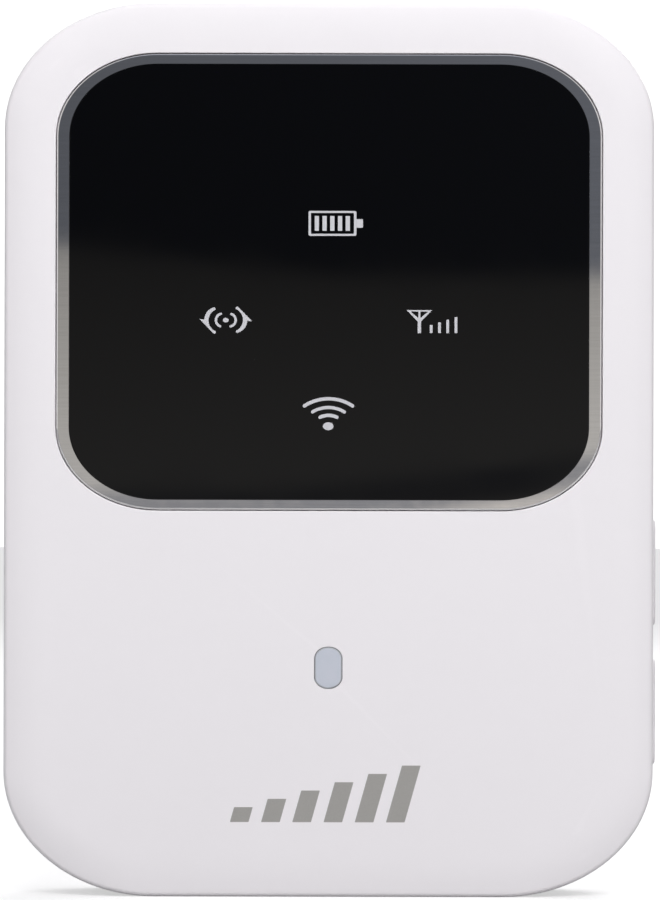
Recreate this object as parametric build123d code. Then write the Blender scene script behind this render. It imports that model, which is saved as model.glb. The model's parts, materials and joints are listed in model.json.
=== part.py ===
from build123d import *
import os

# A pocket mobile hotspot, standing upright. Millimetres.
# +X is to the right of someone looking at the front, +Y runs from front to back, +Z is up.
# The origin is the middle of the bottom edge, on the surface that the case stands on.
# Every flat piece is an outline in the XZ plane, given a front and a back depth along Y.

# ---- case ----
CASE_WIDTH = 69.9
CASE_HEIGHT = 96.0
CASE_DEPTH = 13.5
CORNER_X = 16.2
CORNER_Z = 13.4
FRONT = -CASE_DEPTH / 2
BACK = CASE_DEPTH / 2
MIDDLE_Z = CASE_HEIGHT / 2
SIDE = CASE_WIDTH / 2
WALL = 1.5
BACK_EDGE_RADIUS = 1.6

# ---- shoulder round the front face: a shallow curve down to a small edge rounding ----
SHOULDER_WIDTH = 4.6
SHOULDER_SIDE_DROP = 0.9
SHOULDER_END_DROP = 0.3
SHOULDER_POWER = 2.2
FRONT_EDGE = 0.5
SHOULDER_LEVELS = (0.0, 0.02, 0.08, 0.18, 0.30, 0.42, 0.60, 0.90, 0.97, 1.12, 1.40)

# ---- seams between the three case pieces ----
FRONT_SEAM = -2.9
BACK_SEAM = 2.1
SEAM_GAP = 0.15
TONGUE_DEPTH = 1.0
TONGUE_ROOT = 0.5
TONGUE_THICKNESS = 0.6
TONGUE_CLEARANCE = 0.05

# ---- window and its trim ring, in the front shell ----
WINDOW_Z = MIDDLE_Z + 18.02
POCKET_WIDTH = 58.74
POCKET_HEIGHT = 49.14
POCKET_CORNER_X = 10.99
POCKET_CORNER_Z = 8.99
FRONT_WALL = 2.1
POCKET_DEPTH = 1.5
RING_GAP = 0.11
RING_SIDE_WIDTH = 1.33
RING_END_WIDTH = 1.06
RING_EDGE = 0.12
RING_PROUD = 0.05
WINDOW_GAP = 0.03
WINDOW_THICKNESS = 1.40
TAPE_THICKNESS = 0.10
INLAY = 0.06

# ---- symbols in the window: middle of each, from the case's middle ----
BATTERY_ICON = (0.34, MIDDLE_Z + 24.32)
DATA_ICON = (-11.09, MIDDLE_Z + 13.91)
SIGNAL_ICON = (10.94, MIDDLE_Z + 13.80)
WIRELESS_ICON = (0.0, MIDDLE_Z + 2.55)

# ---- light guide behind the symbols ----
WELLS = [
    (0.34, MIDDLE_Z + 24.3, 8.0, 5.0),
    (-11.1, MIDDLE_Z + 13.9, 8.0, 6.0),
    (10.9, MIDDLE_Z + 13.8, 8.0, 6.0),
    (0.0, MIDDLE_Z + 4.0, 8.0, 6.0),
]
GUIDE_WIDTH = 34.0
GUIDE_HEIGHT = 31.0
GUIDE_Z = MIDDLE_Z + 14.0
FILM_THICKNESS = 0.15

# ---- status lens and emblem ----
LENS_Z = MIDDLE_Z - 23.39
LENS_WIDTH = 3.04
LENS_HEIGHT = 4.53
LENS_CORNER_X = 1.46
LENS_CORNER_Z = 1.28
LENS_GAP = 0.04
LENS_FLANGE = 0.8
LENS_FLANGE_THICKNESS = 0.6
LENS_STEM = (2.2, 3.2, 0.5)
EMBLEM_X = -1.15
EMBLEM_Z = MIDDLE_Z - 36.9
EMBLEM_BARS = 6
EMBLEM_PITCH = 3.35
EMBLEM_BAR = 2.0
EMBLEM_LOW = 1.6
EMBLEM_HIGH = 6.1
EMBLEM_SLANT = 0.28

# ---- circuit board and the depth that its parts share ----
BOARD_FRONT = -2.2
BOARD_BACK = -1.2
BOARD_WIDTH = 62.0
BOARD_MARGIN = 3.2
BOARD_CORNER_X = 12.6
BOARD_CORNER_Z = 10.6
LED_HEIGHT = 0.75
CAN_HEIGHT = 1.5
CAN_SHEET = 0.2
CAN_CORNER = 0.6
CHIP_HEIGHT = 1.0

# cans and chips: left, right, bottom, top for a can; middle x, middle z, width, height for a chip
BASEBAND_CAN = (-24.0, -2.0, 24.0, 45.5)
RF_CAN = (2.0, 24.0, 24.0, 44.0)
WIFI_CAN = (-24.0, -8.0, 49.5, 59.5)
BASEBAND_CHIP = (-17.0, 35.0, 10.0, 10.0)
MEMORY_CHIP = (-6.5, 35.0, 7.0, 9.0)
RF_CHIP = (9.0, 34.0, 7.0, 7.0)
POWER_CHIP = (18.0, 34.0, 6.0, 6.0)
WIFI_CHIP = (-16.0, 54.5, 6.0, 6.0)

# ---- small parts on the back of the board: middle x and middle z of each ----
CAPACITORS = [(x, 47.5) for x in (-22.0, -19.0, -16.0, 6.0, 9.0, 12.0)]
CAPACITORS += [(-29.0, z) for z in (30.0, 33.0, 36.0, 62.0, 65.0)]
CAPACITORS += [(x, 16.0) for x in (-15.0, -12.0, 12.0, 15.0)]
COILS = [(-18.0, 12.0), (18.0, 12.0)]
CAPACITOR_HEIGHT = 0.8
COIL_WIDTH = 3.2
COIL_HEIGHT = 1.3

# ---- card sockets on the back of the board ----
SOCKET_HEIGHT = 1.4
SOCKET_FLOOR = 0.35
SOCKET_LID = 0.2
SIM_X = 11.0
SIM_BOTTOM = 60.0
SIM_WIDTH = 15.0
SIM_LENGTH = 16.0
CARD_X = -10.0
CARD_BOTTOM = 61.0
CARD_WIDTH = 13.5
CARD_LENGTH = 14.5

# ---- antennas: left, right, bottom, top, number of slots, feed leg x ----
MAIN_ANTENNA = (-18.0, -5.0, 4.5, 13.5, 5, -11.0)
WIFI_ANTENNA = (5.0, 18.0, 4.5, 13.5, 4, 16.0)
DIVERSITY_ANTENNA = (-18.0, 12.0, 84.5, 92.0, 9, 0.0)
ANTENNA_SHEET = 0.2

# ---- screws and their bosses ----
SCREW_X = 26.5
SCREW_Z = 10.5
SHANK_RADIUS = 0.80
PILOT_RADIUS = 0.85
HEAD_RADIUS = 1.5
HEAD_HEIGHT = 1.0
BOSS_RADIUS = 2.1
SLEEVE_RADIUS = 2.6
BOSS_END = -0.1
SCREW_TIP = -3.9

# ---- rear housing and battery ----
DECK_BACK = 5.5
DECK_THICKNESS = 0.9
COVER_WALL = 1.2
COVER_BACK_WALL = 1.1
COVER_FIT = 0.15
DECK_WALL = 1.05
LEDGE = 1.4
BAY_FLOOR_FRONT = 0.5
BAY_FLOOR_BACK = 1.2
BAY_WALL = 1.0
BAY_CLEARANCE = 0.3
BATTERY_WIDTH = 50.0
BATTERY_HEIGHT = 58.0
BATTERY_BOTTOM = 22.3
BATTERY_FRONT = 1.35
BATTERY_BACK = 5.35
LABEL = 0.05
CONTACT_PLACES = (-3.0, 0.0, 3.0)

# ---- keys on the right side ----
KEY_LENGTH = 11.55
KEY_DEPTH = 2.8
KEY_PROUD = 0.45
KEY_Y = -0.5
KEY_END_RADIUS = 1.2
KEY_FIT = 0.12
POWER_KEY_Z = MIDDLE_Z - 13.17
WPS_KEY_Z = MIDDLE_Z - 28.25
FLANGE_OUTER = SIDE - WALL - 0.05
FLANGE_THICKNESS = 0.7
FLANGE_MARGIN = 0.4
NUB = (2.4, 1.6, 0.3)
PLUNGER_RADIUS = 0.6
PLUNGER_REACH = 0.9
PLUNGER_FIT = 0.05
SWITCH_FACE = BOARD_WIDTH / 2
SWITCH_LENGTH = 3.8

# ---- micro USB socket in the bottom edge ----
USB_WIDTH = 7.5
USB_DEPTH = 2.5
USB_LENGTH = 5.6
USB_SHEET = 0.3
USB_RECESS = 0.5
USB_MOUTH = 0.3
USB_Y = BOARD_BACK + USB_DEPTH / 2
USB_CHAMFER = 0.7
TONGUE_HALF = 1.9
TONGUE_SPACE = 0.6

# ---- clips of the battery cover ----
CLIP_HEIGHTS = (50.0, 72.0)
CLIP_LENGTH = 5.0
CLIP_TIP = 0.9
CLIP_INSET = 1.6
CLIP_THICKNESS = 0.6
CLIP_ROOM = 0.3

# ---- thumbnail notch in the left side of the cover's rim ----
NOTCH_Z = 23.0
NOTCH_LENGTH = 10.0
NOTCH_WIDTH = 0.9
NOTCH_DEPTH = 0.7


# ---------- shape helpers ----------

def outline(width, height, corner_x, corner_z, x=0.0, z=0.0):
    """A face with elliptical corners, drawn as seen from the front, centred on (x, z)."""
    right = width / 2 - corner_x
    top = height / 2 - corner_z
    corners = [(right, top), (-right, top), (-right, -top), (right, -top)]
    edges = []
    for turn, (cx, cz) in enumerate(corners):
        edges.append(EllipticalCenterArc((x + cx, z + cz), corner_x, corner_z, 90.0 * turn, arc_size=90.0))
    for turn in range(4):
        start = edges[turn] @ 1
        end = edges[(turn + 1) % 4] @ 0
        if (end - start).length > 1e-6:
            edges.append(Line(start, end))
    return make_face(edges)


def slab(face, front, back):
    """The solid that a front-view face makes between two depths."""
    return extrude(Plane.XZ.offset(-back) * face, amount=back - front)


def block(left, right, front, back, bottom, top):
    """A box from its six limits."""
    place = Pos((left + right) / 2, (front + back) / 2, (bottom + top) / 2)
    return place * Box(right - left, back - front, top - bottom)


def rod(x, z, radius, front, back):
    """A round bar along Y."""
    return Plane.XZ.offset(-back) * Pos(x, z, 0) * Cylinder(
        radius, back - front, align=(Align.CENTER, Align.CENTER, Align.MIN)
    )


def rounded_block(left, right, front, back, bottom, top, radius):
    """A box whose edges along Y are rounded."""
    face = outline(right - left, top - bottom, radius, radius, (left + right) / 2, (bottom + top) / 2)
    return slab(face, front, back)


def case_outline(inset=0.0):
    """The case's outline, drawn in by an even margin."""
    return outline(
        CASE_WIDTH - 2 * inset,
        CASE_HEIGHT - 2 * inset,
        CORNER_X - inset,
        CORNER_Z - inset,
        0.0,
        MIDDLE_Z,
    )


def window_outline(side_inset, end_inset=None):
    """The window pocket's outline, drawn in by one margin at the sides and another at the ends."""
    end_inset = side_inset if end_inset is None else end_inset
    return outline(
        POCKET_WIDTH - 2 * side_inset,
        POCKET_HEIGHT - 2 * end_inset,
        POCKET_CORNER_X - side_inset,
        POCKET_CORNER_Z - end_inset,
        0.0,
        WINDOW_Z,
    )


def front_edges(solid):
    """The edges round a solid's frontmost face."""
    return solid.faces().sort_by(Axis.Y)[0].edges()


def back_edges(solid):
    """The edges round a solid's rearmost face."""
    return solid.faces().sort_by(Axis.Y)[-1].edges()


def screw_places():
    """The four screws' places in the front view."""
    return [(x, z) for z in (SCREW_Z, CASE_HEIGHT - SCREW_Z) for x in (-SCREW_X, SCREW_X)]


def group(solids):
    """Separate solids in one node."""
    return Compound(children=[piece for solid in solids for piece in solid.solids()])


# ---------- depths that follow from the driving dimensions ----------

POCKET_FLOOR = FRONT + POCKET_DEPTH
SHELL_INSIDE = FRONT + FRONT_WALL
WINDOW_BACK = POCKET_FLOOR - TAPE_THICKNESS
WINDOW_FRONT = WINDOW_BACK - WINDOW_THICKNESS
FILM_BACK = SHELL_INSIDE + FILM_THICKNESS
RING_SIDE = RING_GAP + RING_SIDE_WIDTH
RING_END = RING_GAP + RING_END_WIDTH
COVER_INSIDE = BACK - COVER_BACK_WALL
DECK_INSET = COVER_WALL + COVER_FIT
BATTERY_TOP = BATTERY_BOTTOM + BATTERY_HEIGHT
BAY_SIDE = BATTERY_WIDTH / 2 + BAY_CLEARANCE
BAY_BOTTOM = BATTERY_BOTTOM - BAY_CLEARANCE
BAY_TOP = BATTERY_TOP + BAY_CLEARANCE


# ---------- symbols, as thin solids flush with the window's front ----------

def mark(face):
    """One symbol stroke, let into the window's front face."""
    return slab(face, WINDOW_FRONT, WINDOW_FRONT + INLAY)


def bar(left, right, bottom, top):
    """An upright rectangle in the front view."""
    return Pos((left + right) / 2, (bottom + top) / 2) * Rectangle(right - left, top - bottom)


def battery_icon():
    """An outlined cell with five charge bars and an end cap."""
    x, z = BATTERY_ICON
    frame = outline(5.21, 2.74, 0.27, 0.27, x, z) - bar(x - 2.28, x + 2.28, z - 1.09, z + 1.09)
    bars = [bar(x - 1.94 + 0.83 * i, x - 1.42 + 0.83 * i, z - 0.83, z + 0.83) for i in range(5)]
    cap = bar(x + 2.66, x + 3.30, z - 0.49, z + 0.49)
    return group([mark(frame)] + [mark(b) for b in bars] + [mark(cap)])


def data_icon():
    """A dot between two pairs of arcs, the outer pair swelling into arrowheads."""
    x, z = DATA_ICON
    inner = trace(ThreePointArc((0.60, 0.66), (1.065, 0.0), (0.53, -0.67)), line_width=0.32)
    hook = make_face(
        [
            ThreePointArc((1.42, -1.33), (2.10, -0.80), (2.33, -0.09)),
            Line((2.33, -0.09), (2.90, -0.15)),
            Line((2.90, -0.15), (1.37, 1.42)),
            ThreePointArc((1.37, 1.42), (1.095, 1.455), (1.06, 1.18)),
            ThreePointArc((1.06, 1.18), (1.82, -0.02), (1.11, -1.09)),
            ThreePointArc((1.11, -1.09), (1.145, -1.365), (1.42, -1.33)),
        ]
    )
    pieces = [mark(Pos(x, z) * Ellipse(0.34, 0.28))]
    for turn in (0, 180):
        place = Pos(x, z) * Rot(0, 0, turn)
        pieces += [mark(place * inner), mark(place * hook)]
    return group(pieces)


def signal_icon():
    """An aerial with two open panes, and four rising bars."""
    x, z = SIGNAL_ICON
    left, right, top, foot = -2.69, 0.19, 1.27, -1.27
    stem = (left + right) / 2
    half_stem, half_mast = 0.21, 0.135
    side = [(right, top), (stem + half_stem, 0.0), (stem + half_stem, foot)]
    mirrored = [(2 * stem - px, pz) for px, pz in reversed(side)]
    aerial = make_face(Polyline(*side, *mirrored, close=True))
    for sign in (-1, 1):
        pane = [(half_mast, top - 0.22), (0.86, top - 0.22), (half_mast, 0.43)]
        aerial -= make_face(Polyline(*[(stem + sign * px, pz) for px, pz in pane], close=True))
    bars = []
    for index, bar_top in enumerate((-0.32, -0.05, 0.24, 0.52)):
        bar_x = x + 0.02 + 0.885 * index
        bars.append(bar(bar_x - 0.18, bar_x + 0.18, z - 1.25, z + bar_top))
    return group([mark(Pos(x, z) * aerial)] + [mark(b) for b in bars])


def wireless_icon():
    """A dot under three arcs: half width, end height, crown height and thickness of each."""
    x, z = WIRELESS_ICON
    pieces = [mark(Pos(x, z) * Ellipse(0.60, 0.46))]
    arcs = ((0.98, 0.92, 1.17, 0.43), (1.80, 1.50, 2.01, 0.41), (2.68, 2.13, 2.95, 0.43))
    for half_width, end, crown, thickness in arcs:
        spine = ThreePointArc((x - half_width, z + end), (x, z + crown), (x + half_width, z + end))
        pieces.append(mark(trace(spine, line_width=thickness)))
    return group(pieces)


# ---------- front of the case ----------

def shoulder_inset(drop, fall):
    """How far in from the side the front lies at a drop below its flat, for a shoulder of a given fall."""
    if drop <= fall:
        return SHOULDER_WIDTH - (SHOULDER_WIDTH - FRONT_EDGE) * (drop / fall) ** (1 / SHOULDER_POWER)
    left_over = max(0.0, 1 - (drop - fall) / FRONT_EDGE)
    return FRONT_EDGE * (1 - (1 - left_over**2) ** 0.5)


def shoulder_outline(drop):
    """The front shell's outline at a drop below its flat front face."""
    side = shoulder_inset(drop, SHOULDER_SIDE_DROP)
    end = shoulder_inset(drop, SHOULDER_END_DROP)
    return outline(
        CASE_WIDTH - 2 * side,
        CASE_HEIGHT - 2 * end,
        CORNER_X - side,
        CORNER_Z - end,
        0.0,
        MIDDLE_Z,
    )


def shell_blank():
    """The front shell's outside as a solid block: a straight wall, the edge rounding and the shoulder."""
    blank = slab(case_outline(), FRONT + SHOULDER_LEVELS[-1], FRONT_SEAM)
    for upper, lower in zip(SHOULDER_LEVELS, SHOULDER_LEVELS[1:]):
        upper_face = Plane.XZ.offset(-FRONT - upper) * shoulder_outline(upper)
        lower_face = Plane.XZ.offset(-FRONT - lower) * shoulder_outline(lower)
        blank += loft([lower_face, upper_face], ruled=True)
    return blank


def well_space(well, front, back):
    """The rounded space of one light well between two depths."""
    x, z, width, height = well
    return slab(outline(width, height, 0.8, 0.8, x, z), front, back)


def emblem_bar(index):
    """One leaning bar of the emblem, in the front view."""
    height = EMBLEM_LOW + (EMBLEM_HIGH - EMBLEM_LOW) * index / (EMBLEM_BARS - 1)
    left = EMBLEM_X + (index - (EMBLEM_BARS - 1) / 2) * EMBLEM_PITCH - EMBLEM_BAR / 2
    foot = EMBLEM_Z - EMBLEM_HIGH / 2
    lean = EMBLEM_SLANT * height
    corners = [
        (left, foot),
        (left + EMBLEM_BAR, foot),
        (left + EMBLEM_BAR + lean, foot + height),
        (left + lean, foot + height),
    ]
    return make_face(Polyline(*corners, close=True))


def front_emblem():
    """A row of leaning bars that rise to the right, let into the front face."""
    return group([slab(emblem_bar(i), FRONT, FRONT + INLAY) for i in range(EMBLEM_BARS)])


def lens_outline(inset=0.0):
    """The status lens's pill outline, drawn in by an even margin."""
    return outline(
        LENS_WIDTH - 2 * inset,
        LENS_HEIGHT - 2 * inset,
        LENS_CORNER_X - inset,
        LENS_CORNER_Z - inset,
        0.0,
        LENS_Z,
    )


def front_shell():
    """The front case half: a shallow tray with the window pocket, light openings and screw bosses."""
    shell = shell_blank() - slab(case_outline(WALL), SHELL_INSIDE, FRONT_SEAM)
    shell -= slab(window_outline(0.0), FRONT, POCKET_FLOOR)
    for well in WELLS:
        shell -= well_space(well, POCKET_FLOOR, SHELL_INSIDE)
    shell -= slab(lens_outline(), FRONT, SHELL_INSIDE)
    for index in range(EMBLEM_BARS):
        shell -= slab(emblem_bar(index), FRONT, FRONT + INLAY)
    for x, z in screw_places():
        shell += rod(x, z, BOSS_RADIUS, SHELL_INSIDE, BOSS_END)
        shell -= rod(x, z, PILOT_RADIUS, SCREW_TIP - 0.3, BOSS_END)
    return shell


def window_trim_ring():
    """The trim ring: a flat band round the window, just proud of the case, with its outer edge softened."""
    ring = slab(window_outline(RING_GAP), FRONT - RING_PROUD, POCKET_FLOOR)
    ring = fillet(front_edges(ring), RING_EDGE)
    return ring - slab(window_outline(RING_SIDE, RING_END), FRONT - RING_PROUD, POCKET_FLOOR)


def display_window():
    """The black window panel, with shallow pockets for the four symbols."""
    panel = slab(window_outline(RING_SIDE + WINDOW_GAP, RING_END + WINDOW_GAP), WINDOW_FRONT, WINDOW_BACK)
    for icon in (battery_icon(), data_icon(), signal_icon(), wireless_icon()):
        panel -= icon
    return panel


def window_adhesive():
    """The tape frame that holds the window to the pocket floor, open over each light well."""
    tape = slab(window_outline(RING_SIDE + 0.3, RING_END + 0.3), WINDOW_BACK, POCKET_FLOOR)
    for well in WELLS:
        tape -= well_space(well, WINDOW_BACK, POCKET_FLOOR)
    return tape


def status_lens():
    """The pill-shaped light pipe: a face flush with the case, a flange inside and a stem to the lamp."""
    flange_back = SHELL_INSIDE + LENS_FLANGE_THICKNESS
    stem_width, stem_height, stem_corner = LENS_STEM
    face = slab(lens_outline(LENS_GAP), FRONT + 0.02, SHELL_INSIDE)
    flange = slab(lens_outline(-LENS_FLANGE), SHELL_INSIDE, flange_back)
    stem_face = outline(stem_width, stem_height, stem_corner, stem_corner, 0.0, LENS_Z)
    stem = slab(stem_face, flange_back, BOARD_FRONT - LED_HEIGHT - 0.1)
    return face + flange + stem


# ---------- light guide ----------

def guide_slab(front, back):
    """The light guide's rounded rectangle between two depths."""
    return slab(outline(GUIDE_WIDTH, GUIDE_HEIGHT, 2.0, 2.0, 0.0, GUIDE_Z), front, back)


def light_diffuser():
    """A milky film behind the light openings."""
    return guide_slab(SHELL_INSIDE, FILM_BACK)


def light_guide_frame():
    """A frame with one light-tight well for each symbol."""
    frame = guide_slab(FILM_BACK, BOARD_FRONT - 0.05)
    for well in WELLS:
        frame -= well_space(well, FILM_BACK, BOARD_FRONT)
    return frame


# ---------- circuit board ----------

def main_board():
    """The circuit board, with clearance holes for the screw bosses and locating notches in its ends."""
    height = CASE_HEIGHT - 2 * BOARD_MARGIN
    board = slab(
        outline(BOARD_WIDTH, height, BOARD_CORNER_X, BOARD_CORNER_Z, 0.0, MIDDLE_Z), BOARD_FRONT, BOARD_BACK
    )
    for x, z in screw_places():
        board -= rod(x, z, BOSS_RADIUS + 0.25, BOARD_FRONT, BOARD_BACK)
    for x in (-14.0, 14.0):
        board -= rod(x, CASE_HEIGHT - BOARD_MARGIN, 1.2, BOARD_FRONT, BOARD_BACK)
    return board


def indicator_leds():
    """One lamp under each symbol, two under the battery symbol, and one under the status lens."""
    places = [(x, z) for x, z, _, _ in WELLS[1:]]
    battery_x, battery_z, _, _ = WELLS[0]
    places += [(battery_x - 1.8, battery_z), (battery_x + 1.8, battery_z), (0.0, LENS_Z)]
    lamps = []
    for x, z in places:
        base = block(x - 0.8, x + 0.8, BOARD_FRONT - 0.35, BOARD_FRONT, z - 0.4, z + 0.4)
        dome = block(x - 0.5, x + 0.5, BOARD_FRONT - LED_HEIGHT, BOARD_FRONT - 0.35, z - 0.4, z + 0.4)
        lamps.append(base + dome)
    return group(lamps)


def shield_can(left, right, bottom, top):
    """A drawn metal can, open towards the board."""
    sheet = CAN_SHEET
    back = BOARD_BACK + CAN_HEIGHT
    can = rounded_block(left, right, BOARD_BACK, back, bottom, top, CAN_CORNER)
    inner_left, inner_right = left + sheet, right - sheet
    room = rounded_block(
        inner_left, inner_right, BOARD_BACK, back - sheet, bottom + sheet, top - sheet, CAN_CORNER - sheet
    )
    return can - room


def chip(x, z, width, height):
    """A moulded chip on the back of the board, with a pin-one dimple."""
    back = BOARD_BACK + CHIP_HEIGHT
    body = block(x - width / 2, x + width / 2, BOARD_BACK, back, z - height / 2, z + height / 2)
    dimple = rod(x - width / 2 + 0.9, z + height / 2 - 0.9, 0.35, back - 0.1, back)
    return body - dimple


def board_parts():
    """Capacitors and coils along the board's back, outside the cans."""
    back = BOARD_BACK + CAPACITOR_HEIGHT
    parts = [block(x - 0.8, x + 0.8, BOARD_BACK, back, z - 0.4, z + 0.4) for x, z in CAPACITORS]
    for x, z in COILS:
        coil = outline(COIL_WIDTH, COIL_WIDTH, 0.6, 0.6, x, z)
        parts.append(slab(coil, BOARD_BACK, BOARD_BACK + COIL_HEIGHT))
    return group(parts)


def usb_shell():
    """The micro USB socket's folded metal shell, open at the bottom edge."""
    bottom = USB_RECESS
    top = USB_RECESS + USB_LENGTH
    half = USB_WIDTH / 2
    front = BOARD_BACK
    back = BOARD_BACK + USB_DEPTH
    outer = block(-half, half, front, back, bottom, top)
    outer = chamfer(outer.edges().filter_by(Axis.Z).group_by(Axis.Y)[0], USB_CHAMFER)
    inner_front, inner_back = front + USB_SHEET, back - USB_SHEET
    inner_top = top - 2 * USB_SHEET
    inner = block(-half + USB_SHEET, half - USB_SHEET, inner_front, inner_back, bottom, inner_top)
    inner = chamfer(inner.edges().filter_by(Axis.Z).group_by(Axis.Y)[0], USB_CHAMFER - 0.1)
    return outer - inner


def usb_tongue():
    """The socket's insulating tongue."""
    bottom = USB_RECESS + TONGUE_SPACE
    top = USB_RECESS + USB_LENGTH - TONGUE_SPACE
    return block(-TONGUE_HALF, TONGUE_HALF, USB_Y + 0.1, USB_Y + 0.7, bottom, top)


def card_socket(x, bottom, width, length):
    """A push-in card socket: a frame with a lid, open at the top end, with a window in the lid."""
    half = width / 2
    floor = BOARD_BACK + SOCKET_FLOOR
    back = BOARD_BACK + SOCKET_HEIGHT
    top = bottom + length
    body = block(x - half, x + half, BOARD_BACK, back, bottom, top)
    slot = block(x - half + 0.6, x + half - 0.6, floor, back - SOCKET_LID, bottom + 0.8, top)
    window = block(x - half + 3.0, x + half - 3.0, back - SOCKET_LID, back, bottom + 3.0, top - 4.0)
    return body - slot - window


def sim_contacts():
    """Six gold contact strips inside the SIM socket."""
    floor = BOARD_BACK + SOCKET_FLOOR
    strips = []
    for x in (SIM_X - 2.54, SIM_X, SIM_X + 2.54):
        for z in (SIM_BOTTOM + 5.0, SIM_BOTTOM + 10.0):
            strips.append(block(x - 0.6, x + 0.6, floor, floor + 0.3, z - 1.6, z + 1.6))
    return group(strips)


def battery_connector():
    """The block that carries the battery contacts."""
    return block(-5.0, 5.0, BOARD_BACK, 3.2, BAY_BOTTOM - BAY_WALL - 3.0, BAY_BOTTOM - BAY_WALL - 0.1)


def battery_contacts():
    """Three sprung blades that reach through the bay wall to the battery's pads."""
    inner = BAY_BOTTOM - BAY_WALL - 0.1
    blades = []
    for x in CONTACT_PLACES:
        arm = block(x - 0.5, x + 0.5, 2.0, 2.3, inner, BATTERY_BOTTOM - 0.1)
        bend = block(x - 0.5, x + 0.5, 2.3, 2.8, BATTERY_BOTTOM - 0.35, BATTERY_BOTTOM - 0.1)
        blades.append(arm + bend)
    return group(blades)


# ---------- keys and their switches ----------

def side_outline(length, depth, radius, z):
    """A rounded rectangle as seen from the right side."""
    return Pos(KEY_Y, z) * RectangleRounded(depth, length, radius)


def side_slab(face, left, right):
    """The solid that a side-view face makes between two X positions."""
    return extrude(Plane.YZ.offset(left) * face, amount=right - left)


def side_rod(z, radius, left, right):
    """A round bar along X at the keys' depth."""
    return side_slab(Pos(KEY_Y, z) * Circle(radius), left, right)


def key(z):
    """A key: an outer pad, a flange that keeps it in the case, and a nub that meets its switch."""
    pad = side_slab(side_outline(KEY_LENGTH, KEY_DEPTH, KEY_END_RADIUS, z), FLANGE_OUTER, SIDE + KEY_PROUD)
    rim = pad.faces().sort_by(Axis.X)[-1].edges()
    pad = fillet(rim, 0.3)
    flange_face = side_outline(KEY_LENGTH + 2 * FLANGE_MARGIN, KEY_DEPTH + 2 * FLANGE_MARGIN, 0.6, z)
    flange = side_slab(flange_face, FLANGE_OUTER - FLANGE_THICKNESS, FLANGE_OUTER)
    nub_length, nub_depth, nub_corner = NUB
    nub_face = side_outline(nub_length, nub_depth, nub_corner, z)
    nub = side_slab(nub_face, SWITCH_FACE + PLUNGER_REACH, FLANGE_OUTER - FLANGE_THICKNESS)
    return pad + flange + nub


def key_switch(z):
    """A side-push switch on the board's back, with a guide hole for its plunger."""
    body = block(SWITCH_FACE - SWITCH_LENGTH, SWITCH_FACE, BOARD_BACK, BOARD_BACK + 1.4, z - 2.3, z + 2.3)
    return body - side_rod(z, PLUNGER_RADIUS + PLUNGER_FIT, SWITCH_FACE - 1.4, SWITCH_FACE)


def key_plunger(z):
    """The switch's plunger, between the switch and the key's nub."""
    return side_rod(z, PLUNGER_RADIUS, SWITCH_FACE - PLUNGER_REACH, SWITCH_FACE + PLUNGER_REACH)


# ---------- rear housing ----------

def housing_band():
    """The housing's outside: the visible band, and the inset deck that the cover closes over."""
    band = slab(case_outline(), FRONT_SEAM, BACK_SEAM - SEAM_GAP)
    deck = slab(case_outline(DECK_INSET), BACK_SEAM - SEAM_GAP, DECK_BACK)
    tongue = slab(case_outline(WALL + TONGUE_CLEARANCE), FRONT_SEAM - TONGUE_DEPTH, FRONT_SEAM)
    return band + deck + tongue


def housing_hollow():
    """The room for the board and its parts, open to the front."""
    tongue_inset = WALL + TONGUE_CLEARANCE + TONGUE_THICKNESS
    mouth = slab(case_outline(tongue_inset), FRONT_SEAM - TONGUE_DEPTH, FRONT_SEAM + TONGUE_ROOT)
    room = slab(case_outline(WALL), FRONT_SEAM + TONGUE_ROOT, LEDGE)
    roof = slab(case_outline(DECK_INSET + DECK_WALL), LEDGE, DECK_BACK - DECK_THICKNESS)
    return mouth + room + roof


def battery_tray():
    """The tray that the battery drops into, seen as a solid block with its walls and floor."""
    return rounded_block(
        -BAY_SIDE - BAY_WALL,
        BAY_SIDE + BAY_WALL,
        BAY_FLOOR_FRONT,
        DECK_BACK,
        BAY_BOTTOM - BAY_WALL,
        BAY_TOP + BAY_WALL,
        2.0,
    )


def bay_space():
    """The space inside the tray, with a pry notch in its upper wall."""
    space = rounded_block(-BAY_SIDE, BAY_SIDE, BAY_FLOOR_BACK, DECK_BACK, BAY_BOTTOM, BAY_TOP, 1.2)
    notch = block(-4.0, 4.0, 2.6, DECK_BACK, BAY_TOP, BAY_TOP + BAY_WALL + 1.4)
    return space + notch


def card_window(x, bottom, width):
    """An opening in the bay floor over a card socket, long enough to push a card in."""
    half = width / 2 + 0.3
    return block(x - half, x + half, BAY_FLOOR_FRONT, BAY_FLOOR_BACK, bottom - 0.3, BAY_TOP - 2.0)


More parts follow.
